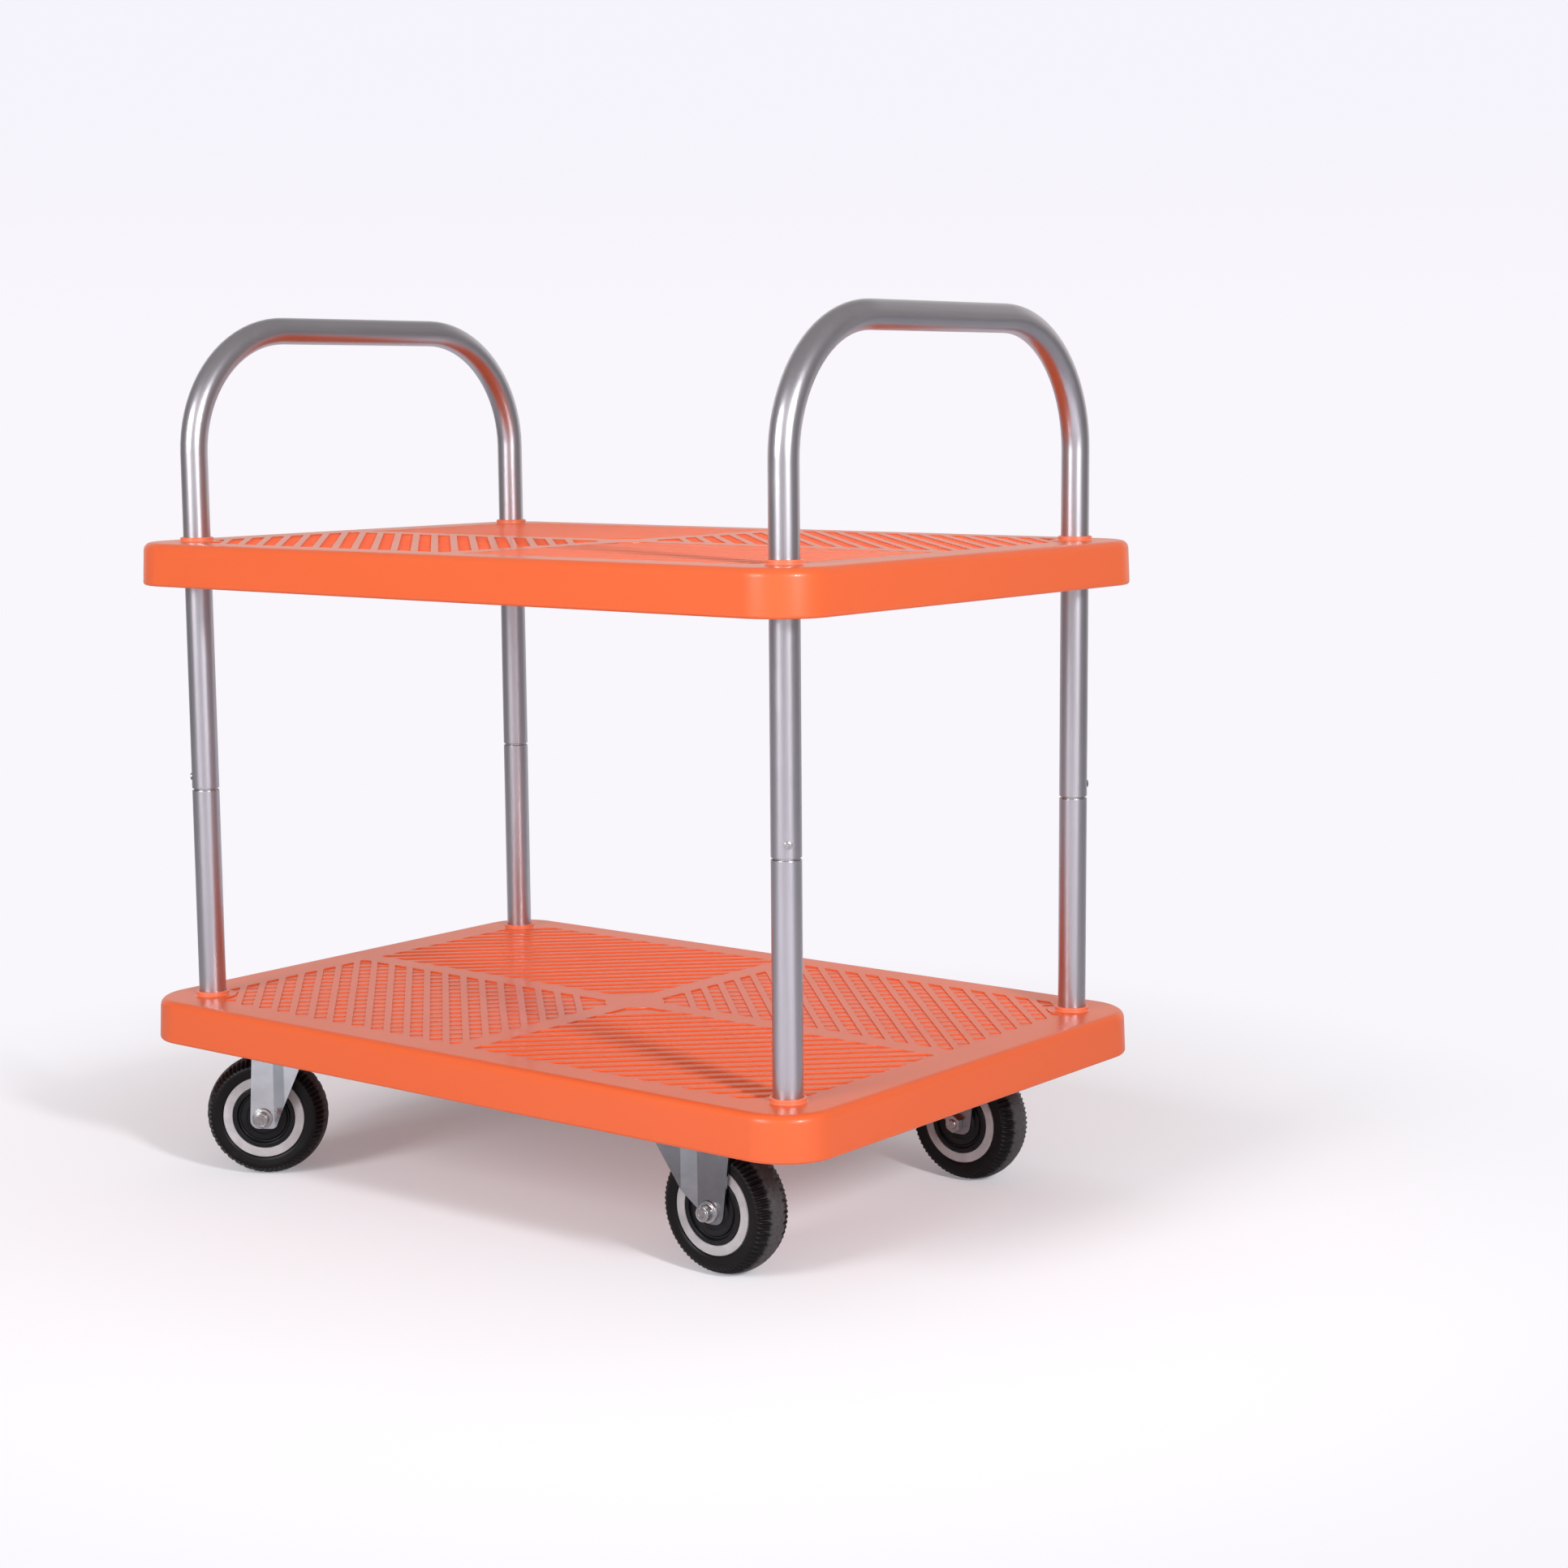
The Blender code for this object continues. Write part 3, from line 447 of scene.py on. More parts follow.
class Shade:
    """A socket of a material's nodes that takes part in Python's arithmetic."""

    def __init__(self, tree, socket=None):
        self.tree = tree
        self.socket = socket

    def node(self, kind, settings=None, values=None, output=0):
        """Add any node: its settings first, then the values or links of its sockets."""
        made = self.tree.nodes.new(kind)
        for name, value in (settings or {}).items():
            setattr(made, name, value)
        for name, value in (values or {}).items():
            if isinstance(value, Shade):
                self.tree.links.new(value.socket, made.inputs[name])
            else:
                made.inputs[name].default_value = value
        return Shade(self.tree, made.outputs[output])

    def math(self, operation, first, second=0.0):
        """Add a Math node."""
        return self.node("ShaderNodeMath", {"operation": operation}, {0: first, 1: second})

    def vector_math(self, operation, second=(0, 0, 0), output=0):
        """Add a Vector Math node."""
        return self.node("ShaderNodeVectorMath", {"operation": operation}, {0: self, 1: second}, output)

    def __add__(self, other):
        return self.math("ADD", self, other)

    def __radd__(self, other):
        return self.math("ADD", other, self)

    def __sub__(self, other):
        return self.math("SUBTRACT", self, other)

    def __rsub__(self, other):
        return self.math("SUBTRACT", other, self)

    def __mul__(self, other):
        return self.math("MULTIPLY", self, other)

    def __rmul__(self, other):
        return self.math("MULTIPLY", other, self)

    def __abs__(self):
        return self.math("ABSOLUTE", self)

    def between(self, low, high):
        """Nought below one value, one above the other, and a smooth rise between them."""
        values = {"Value": self, "From Min": low, "From Max": high}
        return self.node("ShaderNodeMapRange", {"interpolation_type": "SMOOTHSTEP"}, values)

    def scaled(self, scale):
        """These coordinates, stretched by a scale along each axis."""
        return self.node("ShaderNodeMapping", None, {"Vector": self, "Scale": scale})

    def noise(self, scale, detail=3.0, roughness=0.5):
        """Noise over these coordinates."""
        values = {"Vector": self, "Scale": scale, "Detail": detail, "Roughness": roughness}
        return self.node("ShaderNodeTexNoise", None, values)

    def axis(self, name):
        """One of these coordinates."""
        return self.node("ShaderNodeSeparateXYZ", None, {0: self}, "XYZ".index(name))

    def blend(self, first, second):
        """A colour between two, where this is the share of the second."""
        first, second = ((*end, 1) if isinstance(end, tuple) else end for end in (first, second))
        return self.node("ShaderNodeMix", {"data_type": "RGBA"}, {0: self, 6: first, 7: second}, 2)

    def bump(self, distance, strength):
        """A normal that follows this height."""
        values = {"Height": self, "Distance": distance, "Strength": strength}
        return self.node("ShaderNodeBump", None, values)


def material(name, paint, **constants):
    """A material whose varying values come from a function of the object's coordinates."""
    made = bpy.data.materials.new(name)
    made.use_nodes = True
    tree = made.node_tree
    shader = tree.nodes["Principled BSDF"]
    for socket, value in constants.items():
        shader.inputs[socket.replace("_", " ")].default_value = value
    start = Shade(tree)
    place = start.node("ShaderNodeTexCoord", output="Object")
    for socket, value in paint(place).items():
        tree.links.new(value.socket, shader.inputs[socket])


def tone(values, *factors):
    """A property's colour as a tuple, brought up or down by one factor or by one for each channel."""
    if len(factors) < 3:
        factors = (factors or (1,)) * 3
    return tuple(channel * factor for channel, factor in zip(values, factors))


def looks(base, roughness, normal):
    """The three values that vary over a finish."""
    return {"Base Color": base, "Roughness": roughness, "Normal": normal}


def within(across, along, inner, outer):
    """One inside a circle about a point, nought outside it, and a smooth edge between two radii."""
    return 1 - (across * across + along * along).between(inner**2, outer**2)


def paint_deck(place, colours):
    """Moulded plastic: satin, faintly cloudy, rubbed paler on the top, with a painted sheen on the collars
    and mould lines on the sides.
    """
    cloud = place.noise(6.0, 4.0)
    grain = place.noise(900.0, 2.0)
    scuff = place.scaled((14, 60, 14)).noise(5.0, 5.0, 0.65).between(0.55, 0.78)
    up = place.node("ShaderNodeNewGeometry", output="Normal").axis("Z").between(0.75, 0.98)
    rub = scuff * up * 0.22 + cloud * 0.14
    base = rub.blend(tone(colours.deck), tone(colours.deck_worn_and_sheen))
    side_x = abs(place.axis("X"))
    side_y = abs(place.axis("Y"))
    gate = within(side_x, side_y, 0.0238, 0.0246) * up * 0.3
    base = gate.blend(base, tone(colours.deck))
    # Painted sheen: the collars are painted paler than the worn plastic, in place of their highlights.
    collar = within(side_x - POST_X, side_y - POST_Y, 0.0185, 0.0200) * 0.5
    base = collar.blend(base, tuple(channel + 0.10 for channel in colours.deck_worn_and_sheen))
    roughness = 0.31 + cloud * 0.10 + scuff * up * 0.06
    half_x = LOWER_DECK_HIGH.x
    half_y = LOWER_DECK_HIGH.y
    seam = (1 - side_y.between(0.0002, 0.0012)) * side_x.between(half_x - 0.006, half_x - 0.004)
    seam = seam + (1 - side_x.between(0.0002, 0.0012)) * side_y.between(half_y - 0.006, half_y - 0.004)
    height = grain * 0.12 + place.noise(45.0, 2.0) * 0.6 + seam * 1.2
    return looks(base, roughness, height.bump(0.0001, 0.4))


def paint_tube(place, colours):
    """Brushed steel, with the brush lines along the tube."""
    rise = place.axis("Z").between(HANDLE_HIGH.z - 0.0563, HANDLE_HIGH.z - 0.0243)
    upright_lines = place.scaled((900, 900, 9)).noise(1.0, 3.0, 0.6)
    level_lines = place.scaled((900, 9, 900)).noise(1.0, 3.0, 0.6)
    lines = upright_lines * (1 - rise) + level_lines * rise
    cloud = place.noise(11.0, 4.0, 0.6)
    smudge = place.scaled((30, 30, 12)).noise(2.0, 4.0, 0.6).between(0.52, 0.75)
    base = (lines * 0.45 + cloud * 0.35).blend(tone(colours.tube, 0.80), tone(colours.tube, 1.16))
    return looks(base, 0.27 + lines * 0.07 + smudge * 0.05, lines.bump(0.00002, 0.4))


def paint_zinc(place, colours):
    """Zinc plating of the swivel casters."""
    return plating(place, colours.zinc)


def paint_shaded_zinc(place, colours):
    """The zinc plating of the fixed brackets, darkened as painted shade."""
    return plating(place, colours.shaded_zinc)


def plating(place, zinc):
    """Plated sheet: cloudy, with a faint rolled grain and a warm cast in spots."""
    cloud = place.noise(45.0, 5.0, 0.62)
    grain = place.scaled((60, 60, 900)).noise(1.0, 3.0, 0.6)
    warm = place.noise(22.0, 3.0).between(0.56, 0.74)
    base = (cloud * 0.75 + grain * 0.25).between(0.30, 0.72).blend(tone(zinc, 0.88), tone(zinc, 1.08))
    base = (warm * 0.12).blend(base, tone(zinc, 1.0, 0.9, 0.75))
    return looks(base, 0.19 + cloud * 0.09, (cloud + grain * 0.4).bump(0.00004, 0.4))


def paint_bright(place, colours):
    """Bright plating with fine scratches."""
    scratch = place.scaled((300, 300, 60)).noise(3.0, 4.0, 0.7)
    cloud = place.noise(80.0, 3.0)
    shade = (scratch * 0.6 + cloud * 0.4).between(0.25, 0.7)
    base = shade.blend(tone(colours.bright, 0.7), tone(colours.bright))
    return looks(base, 0.2 + scratch * 0.16, scratch.bump(0.00003, 0.5))


def paint_rubber(place, colours):
    """Rubber: matt, with dust where the tread touches the floor."""
    worn = place.node("ShaderNodeAttribute", {"attribute_name": "tread"}, output="Fac")
    speck = place.noise(420.0, 4.0, 0.6)
    cloud = place.noise(55.0, 4.0, 0.6)
    dust = worn * 0.9 * speck.between(0.1, 0.55) + cloud.between(0.55, 0.85) * 0.10
    base = dust.blend(tone(colours.rubber), tone(colours.dust))
    return looks(base, 0.32 + cloud * 0.14 + worn * 0.16, (speck + cloud).bump(0.00012, 0.45))


def paint_rim(place, colours):
    """Grey plastic with a turned grain."""
    cloud = place.noise(70.0, 4.0)
    speck = place.noise(600.0, 2.0)
    shade = (cloud * 0.8 + speck * 0.2).between(0.3, 0.7)
    base = shade.blend(tone(colours.rim, 0.86), tone(colours.rim, 1.1))
    return looks(base, 0.38 + cloud * 0.12, (speck + cloud).bump(0.00005, 0.4))


def paint_cap(place, colours):
    """Black plastic, semi-gloss, with a little dust."""
    cloud = place.noise(60.0, 4.0)
    speck = place.noise(520.0, 3.0)
    dust = cloud.between(0.45, 0.8) * speck.between(0.3, 0.7)
    base = dust.blend(tone(colours.cap), tone(colours.cap, 2.2))
    return looks(base, 0.26 + cloud * 0.14, (speck + cloud).bump(0.00005, 0.4))


FINISHES = {
    "deck_plastic": (paint_deck, {"Specular_IOR_Level": 0.42, "Coat_Weight": 0.14, "Coat_Roughness": 0.10}),
    "tube_steel": (paint_tube, {"Metallic": 1.0}),
    "zinc_steel": (paint_zinc, {"Metallic": 1.0}),
    # The fixed brackets' zinc with painted shade in its colour.
    "dull_zinc_steel": (paint_shaded_zinc, {"Metallic": 1.0}),
    "bright_steel": (paint_bright, {"Metallic": 1.0}),
    "tyre_rubber": (paint_rubber, {"Specular_IOR_Level": 0.2}),
    "rim_plastic": (paint_rim, {"Specular_IOR_Level": 0.5}),
    "cap_plastic": (paint_cap, {"Specular_IOR_Level": 0.3}),
}


def finish_of(finish):
    """A finish's material, made when it is first asked for."""
    name = finish + "_finish"
    if name not in bpy.data.materials:
        paint, constants = FINISHES[finish]
        colours = bpy.context.scene.trolley_colours
        material(name, lambda place: paint(place, colours), **constants)
    return bpy.data.materials[name]


def hand_over(piece, slot, body, *replaced, angle=SMOOTH_ANGLE, finish=None):
    """Smooth a finished piece, give it its material, and let it ride on its body."""
    choose(piece)
    bpy.ops.object.shade_smooth_by_angle(angle=angle)
    modify(piece, "WEIGHTED_NORMAL", keep_sharp=True)
    piece.data.materials.clear()
    piece.data.materials.append(finish_of(finish or slot))
    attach(piece, body)
    if replaced:
        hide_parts(*replaced)


def fit(pattern, name, place, turn, slot, body, *replaced, turned=False, **options):
    """Put a copy of a pattern in its place, turned half round first where asked, and hand it over."""
    piece = copy_of(pattern, name)
    if turned:
        put(piece, turn=HALF_TURN)
    put(piece, place, turn)
    hand_over(piece, slot, body, *replaced, **options)


def deck_shell(name, sizes, extent):
    """The outside of a deck, standing on the floor plane."""
    half_x, half_y = extent
    deck = add_box(name, (-half_x, -half_y, 0), (half_x, half_y, sizes.depth))
    round_edges(deck, upright, sizes.corner_radius, CORNER_STEPS)
    shape = edit(deck, "VERT")
    for vert in shape.verts:
        vert.select_set(vert.co.z > sizes.depth / 2)
    bmesh.update_edit_mesh(deck.data)
    lean = (1 - sizes.draft / half_x, 1 - sizes.draft / half_y, 1)
    bpy.ops.transform.resize(value=lean, center_override=(0, 0, sizes.depth))
    leave()
    round_edges(deck, level_at(sizes.depth), sizes.top_edge, 5)
    round_edges(deck, level_at(0), sizes.foot_edge, 3)
    return deck


def deck_hollow(deck, sizes, extent):
    """Hollow a deck out from below and stand ribs in it."""
    half_x, half_y = extent
    wall = sizes.draft + sizes.wall
    ceiling = sizes.depth - sizes.skin
    inner_x = half_x - wall
    inner_y = half_y - wall
    hollow = add_box("hollow", (-inner_x, -inner_y, -OVERRUN), (inner_x, inner_y, ceiling))
    round_edges(hollow, upright, sizes.corner_radius - wall, CORNER_STEPS)
    round_edges(hollow, level_at(ceiling), 0.0015, 2)
    combine(deck, hollow)
    half_rib = sizes.rib / 2
    end_x = inner_x + sizes.wall / 2
    end_y = inner_y + sizes.wall / 2
    near_x = -POST_X - half_rib
    near_y = -POST_Y - half_rib
    for count, low, high, step in (
        (5, (near_x, -end_y, 0.002), (near_x + sizes.rib, end_y, ceiling + 0.001), (POST_X / 2, 0, 0)),
        (3, (-end_x, near_y, 0.004), (end_x, near_y + sizes.rib, ceiling + 0.0015), (0, POST_Y, 0)),
    ):
        ribs = repeat(add_box("ribs", low, high), count, step)
        bound = add_box("bound", (-half_x, -half_y, 0), (half_x, half_y, sizes.depth))
        round_edges(bound, upright, sizes.corner_radius, CORNER_STEPS)
        bound.scale = (end_x / half_x, end_y / half_y, 1)
        put(bound)
        combine(ribs, bound, "INTERSECT")
        combine(deck, ribs, "UNION")


def caster_blocks(name, spans_x, spans_y, low, high):
    """Boxes about the place of every caster, one for each pair of a span along X and one along Y."""
    blocks = []
    for x in (SWIVEL_X, FIXED_PLATE_X):
        for y in (CASTER_Y, -CASTER_Y):
            for near_x, far_x in spans_x:
                for near_y, far_y in spans_y:
                    corner = (x + near_x, y + near_y, low)
                    blocks.append(add_box(name, corner, (x + far_x, y + far_y, high)))
    return merge(*blocks)


def caster_pads(deck, sizes):
    """Ribbed blocks under the lower deck that the caster plates bear on, with room for them below."""
    ceiling = sizes.depth - sizes.skin
    underside = CASTER_HEIGHT + SEAT_GAP - LOWER_DECK_LOW.z
    pad_x = 0.060
    pad_y = 0.050
    rib = 0.005
    room = ((-0.065, 0.065),)
    pads = caster_blocks("pad", ((-pad_x, pad_x),), ((-pad_y, pad_y),), underside, ceiling + 0.001)
    combine(deck, pads, "UNION")
    cores_x, cores_y = (((rib / 2, end - rib), (rib - end, -rib / 2)) for end in (pad_x, pad_y))
    combine(deck, caster_blocks("core", cores_x, cores_y, underside - OVERRUN, ceiling))
    combine(deck, caster_blocks("room", room, room, -OVERRUN, underside))


def tread_cutter(sizes, extent, top):
    """The strips of all four tread fields, notched from below by low cross ribs in two of them."""
    half_x, half_y = extent
    floor = top - sizes.tread_depth
    high = top + OVERRUN
    inner = sizes.band / 2
    outer_x = half_x - sizes.end_margin
    outer_y = half_y - sizes.side_margin
    field = add_box("field", (inner, inner, floor), (outer_x, outer_y, high))
    combine(field, add_rod("middle", (0, 0), sizes.centre_radius, 0, 2 * top, 64))
    combine(field, add_rod("collar_room", (POST_X, POST_Y), sizes.post_clearance, 0, 2 * top, 48))
    gap = sizes.pitch - sizes.bar
    first = 3
    last = int((POST_X + POST_Y) / math.sqrt(2) / sizes.pitch - 0.5)
    reach = outer_x + outer_y
    first_bar = first * sizes.pitch
    start = first_bar + sizes.bar / 2
    low = floor - OVERRUN
    strip = add_box("strips", (start, -reach, low), (start + gap, reach, high + OVERRUN))
    repeat(strip, last - first, (sizes.pitch, 0, 0))
    near = add_box("near_strip", (-reach, -reach, low), (first_bar - sizes.bar / 2, reach, high + OVERRUN))
    strips = put(merge(strip, near), turn=(0, 0, math.pi / 4))
    combine(field, strips, "INTERSECT")
    round_edges(field, strip_corner, sizes.strip_corner, 3)
    plain = copy_of(field, "plain_fields")
    half_rib = sizes.cross_rib / 2
    rib_top = top - sizes.cross_rib_drop
    count = 2 * int(reach / math.sqrt(2) / sizes.pitch) + 1
    edge = -(count - 1) / 2 * sizes.pitch
    rib = add_box("cross_ribs", (0, edge - half_rib, low), (reach, edge + half_rib, rib_top))
    repeat(rib, count, (0, sizes.pitch, 0))
    put(rib, turn=(0, 0, math.pi / 4))
    combine(field, rib)
    opposite = put(copy_of(field, "opposite_field"), turn=HALF_TURN)
    modify(plain, "MIRROR", use_axis=(True, False, False), use_mirror_merge=False)
    keep = edit(plain, "VERT")
    for vert in keep.verts:
        vert.select_set(vert.co.x > 0)
    bmesh.update_edit_mesh(plain.data)
    bpy.ops.mesh.delete(type="VERT")
    leave()
    across = put(copy_of(plain, "opposite_plain"), turn=HALF_TURN)
    return merge(field, opposite, plain, across)


def add_deck(node, sizes, low, high, on_casters):
    """One finished deck, with its tread, collars, bosses and ribs."""
    extent = ((high.x - low.x) / 2, (high.y - low.y) / 2)
    top = sizes.depth
    deck = deck_shell(node + "_moulding", sizes, extent)
    deck_hollow(deck, sizes, extent)
    if on_casters:
        caster_pads(deck, sizes)
    bosses = []
    collars = []
    bores = []
    collar_top = top + sizes.collar_height
    bore_low = 0.005 if on_casters else -OVERRUN
    bore_high = top + 2 * sizes.collar_height
    for _, side_x, side_y in CORNERS:
        centre = (side_x * POST_X, side_y * POST_Y)
        bosses.append(add_rod("boss", centre, sizes.boss_radius, 0.001, top - 0.002, 48))
        collar = add_rod("collar", centre, sizes.collar_radius, top - 0.001, collar_top, 64)
        round_edges(collar, level_at(collar_top), 0.0012, 3)
        collars.append(collar)
        bores.append(add_rod("bore", centre, TUBE_RADIUS + 0.0005, bore_low, bore_high, 64))
    combine(deck, merge(*bosses), "UNION")
    combine(deck, merge(*collars), "UNION")
    round_edges(deck, collar_foot(top, sizes.collar_radius), 0.0012, 3)
    combine(deck, merge(*bores))
    combine(deck, tread_cutter(sizes, extent, top))
    round_edges(deck, bar_edges(top), sizes.bar_edge, 2)
    put(deck, location=(0, 0, low.z))
    hand_over(deck, "deck_plastic", "chassis", node)


def collar_foot(top, radius):
    """A test for the edges where the collars stand on a deck."""
    def test(edge):
        for vert in edge.verts:
            away = math.hypot(abs(vert.co.x) - POST_X, abs(vert.co.y) - POST_Y)
            if abs(vert.co.z - top) > MERGE_DISTANCE or abs(away - radius) > 0.0002:
                return False
        return True
    return test


def bar_edges(top):
    """A test for the tread's upper edges."""
    def test(edge):
        if not level_at(top)(edge) or len(edge.link_faces) != 2:
            return False
        rises = sorted(abs(face.normal.z) for face in edge.link_faces)
        return rises[0] < 0.1 and rises[1] > 0.9
    return test


class TROLLEY_OT_add_decks(bpy.types.Operator):
    """Model both decks with their tread"""

    bl_idname = "trolley.add_decks"
    bl_label = "Decks"

    def execute(self, context):
        sizes = context.scene.trolley_deck
        add_deck("lower_deck", sizes, LOWER_DECK_LOW, LOWER_DECK_HIGH, True)
        add_deck("upper_deck", sizes, UPPER_DECK_LOW, UPPER_DECK_HIGH, False)
        return {"FINISHED"}


def add_ring(name, centre, radius, height):
    """An open ring of vertices in plan, left in edit mode and selected."""
    bpy.ops.object.select_all(action="DESELECT")
    place = (centre[0], centre[1], height)
    bpy.ops.mesh.primitive_circle_add(vertices=64, radius=radius, fill_type="NOTHING", location=place)
    piece = settle(name)
    edit(piece)
    select_whole()
    return piece


def wall_in(piece, sizes, test):
    """Give a tube its wall, inwards, and round the edges of its ends."""
    face_outwards()
    modify(piece, "SOLIDIFY", thickness=sizes.wall, offset=-1, use_even_offset=True)
    round_edges(piece, test, sizes.rim, 2)


def add_handle(end, side_x, sizes):
    """A push handle: one bent tube, which is also the upper half of two posts."""
    x = side_x * POST_X
    low = HANDLE_LOW.z
    top = HANDLE_HIGH.z - TUBE_RADIUS
    bend = sizes.bend_radius
    handle = add_ring(end + "_handle_tube", (x, -POST_Y), TUBE_RADIUS, low)
    draw_out(0, 0, top - bend - low)
    for side, step in ((-1, (0, 2 * (POST_Y - bend), 0)), (1, (0, 0, low - top + bend))):
        centre = (x, side * (POST_Y - bend), top - bend)
        bpy.ops.mesh.spin(steps=20, angle=math.pi / 2, center=centre, axis=(1, 0, 0))
        draw_out(*step)
    wall_in(handle, sizes, level_at(low))
    hand_over(handle, "tube_steel", "chassis", end + "_handle")


def add_post(corner, side_x, side_y, sizes):
    """A lower post and the sleeve that couples it to the handle above."""
    centre = (side_x * POST_X, side_y * POST_Y)
    post = add_ring(corner + "_post_tube", centre, TUBE_RADIUS, POST_LOW.z)
    draw_out(0, 0, POST_HIGH.z - POST_LOW.z)
    wall_in(post, sizes, level_at(POST_HIGH.z))
    hand_over(post, "tube_steel", "chassis", corner + "_post")
    sleeve_radius = (SLEEVE_HIGH.x - SLEEVE_LOW.x) / 2
    sleeve = add_ring(corner + "_sleeve", centre, sleeve_radius, SLEEVE_LOW.z)
    draw_out(0, 0, SLEEVE_HIGH.z - SLEEVE_LOW.z)
    wall_in(sleeve, sizes, level_at(SLEEVE_HIGH.z))
    hand_over(sleeve, "bright_steel", "chassis", corner + "_coupling")


class TROLLEY_OT_add_tubes(bpy.types.Operator):
    """Model the handles, the posts and the sleeves between them"""

    bl_idname = "trolley.add_tubes"
    bl_label = "Tubes"

    def execute(self, context):
        sizes = context.scene.trolley_tube
        add_handle("front", 1, sizes)
        add_handle("rear", -1, sizes)
        for corner, side_x, side_y in CORNERS:
            add_post(corner, side_x, side_y, sizes)
        return {"FINISHED"}


def add_rivets(sizes):
    """A hollow rivet through each coupling, on the corner's outward side."""
    seat = TUBE_RADIUS
    head = sizes.rivet_radius
    bore = sizes.rivet_bore
    shank = 0.0021
    profile = [
        (bore, seat + 0.0009),
        (bore + 0.0003, seat + 0.0013),
        (head * 0.7, seat + 0.0013),
        (head * 0.93, seat + 0.0008),
        (head, seat - 0.0002),
        (shank, seat - 0.0002),
        (shank, seat - 0.006),
        (bore, seat - 0.006),
    ]
    plain = lathe("rivet", profile, 32)
    low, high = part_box("front_left_rivet")
    height = (low.z + high.z) / 2
    for corner, side_x, side_y in CORNERS:
        place = (side_x * POST_X, side_y * POST_Y, height)
        turn = (0, 0, math.atan2(side_y, side_x) - math.pi / 2)
        fit(plain, corner + "_rivet_head", place, turn, "bright_steel", "chassis", corner + "_rivet")
    discard(plain)


def cross_head_screw(name, head, rise, shank, reach):
    """A pan-head screw along the Y axis, its head's seat at nought, with a cross slot."""
    profile = [
        (0, rise),
        (head * 0.55, rise * 0.95),
        (head * 0.88, rise * 0.65),
        (head, rise * 0.25),
        (head, 0),
        (shank, 0),
        (shank, shank - reach),
        (0, -reach),
    ]
    screw = lathe(name, profile, 32, closed=False)
    slot = head * 0.16
    arm = head * 0.6
    low = rise * 0.4
    across = add_box("slot", (-arm, low, -slot), (arm, 2 * rise, slot))
    combine(screw, across)
    along = add_box("slot", (-slot, low * 1.01, -arm), (slot, 2 * rise, arm))
    return combine(screw, along)


class TROLLEY_OT_add_fasteners(bpy.types.Operator):
    """Model the rivets, the deck screws and the screws that hold the casters"""

    bl_idname = "trolley.add_fasteners"
    bl_label = "Fasteners"

    def execute(self, context):
        deck = context.scene.trolley_deck
        pressings = context.scene.trolley_caster
        add_rivets(context.scene.trolley_tube)
        plain = cross_head_screw("deck_screw", head=0.004, rise=0.0025, shank=0.002, reach=0.0085)
        seat = (deck.boss_radius + 0.0002) / math.sqrt(2)
        for corner, side_x, side_y in CORNERS:
            name = corner + "_pan_head_screw"
            node = corner + "_deck_screw"
            low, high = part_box(node)
            place = (side_x * (POST_X - seat), side_y * (POST_Y - seat), (low.z + high.z) / 2)
            turn = (0, 0, math.atan2(-side_y, -side_x) - math.pi / 2)
            fit(plain, name, place, turn, "bright_steel", "chassis", node)
        discard(plain)
        plain = hex_screw("caster_screw", head=0.0075, rise=0.0053, shank=0.0038, reach=0.018)
        seat = CASTER_HEIGHT - pressings.plate_thickness - 0.0002
        for corner, side_x, side_y in CORNERS:
            centre_x = FIXED_PLATE_X if side_x > 0 else SWIVEL_X
            screws = []
            for step_x, step_y in PLATE_HOLES:
                screw = copy_of(plain, corner + "_caster_screws")
                place = (centre_x + step_x, side_y * CASTER_Y + step_y, seat)
                put(screw, place, (-math.pi / 2, 0, 0))
                screws.append(screw)
            hand_over(merge(*screws), "bright_steel", "chassis")
        discard(plain)
        return {"FINISHED"}


def hexagon(name, radius, seat, height, narrow):
    """A six-sided bar along the Y axis, chamfered to a share of its radius at its far end."""
    bpy.ops.object.select_all(action="DESELECT")
    middle = (0, seat + height / 2, 0)
    bpy.ops.mesh.primitive_cylinder_add(
        vertices=6, radius=radius, depth=abs(height), location=middle, rotation=(math.pi / 2, 0, 0)
    )
    bar = settle(name)
    foot = seat - math.copysign(OVERRUN, height)
    flat = seat + height * 0.8
    end = seat + height * 1.01
    wide = radius * 1.2
    profile = [(0, foot), (wide, foot), (wide, flat), (radius * narrow, end), (0, end)]
    return combine(bar, lathe("cone", profile, 48, closed=False), "INTERSECT")


def hex_screw(name, head, rise, shank, reach):
    """A hexagon screw along the Y axis with a washer: head outwards, shank inwards."""
    washer = 0.0012
    screw = hexagon(name, head, washer, rise, 0.86)
    profile = [
        (0, washer),
        (head * 1.15, washer),
        (head * 1.25, washer * 0.8),
        (head * 1.25, 0),
        (shank, 0),
        (shank, shank * 0.4 - reach),
        (shank * 0.6, -reach),
        (0, -reach),
    ]
    return combine(screw, lathe("washer", profile, 40, closed=False), "UNION")


def tyre_profile(sizes):
    """Half of the tyre's section, from the rim out to the middle of the tread."""
    outer = sizes.radius
    side = sizes.half_width
    seat = sizes.rim_radius + SEAT_GAP
    return [
        (seat, 0.0200),
        (seat + 0.0002, side - 0.0022),
        (seat + 0.0014, side - 0.0012),
        (0.0480, side - 0.0006),
        (0.0512, side - 0.0004),
        (0.0518, side),
        (0.0540, side),
        (0.0562, side - 0.0005),
        (0.0580, side - 0.0014),
        (0.0594, side - 0.0028),
        (0.0604, side - 0.0044),
        (outer - 0.0036, 0.0166),
        (outer - 0.0028, 0.0144),
        (outer - 0.0019, 0.0122),
        (outer - 0.0012, 0.0100),
        (outer - 0.0007, 0.0080),
        (outer - 0.0004, 0.0062),
        (outer - 0.0002, 0.0046),
        (outer, 0.0020),
    ]


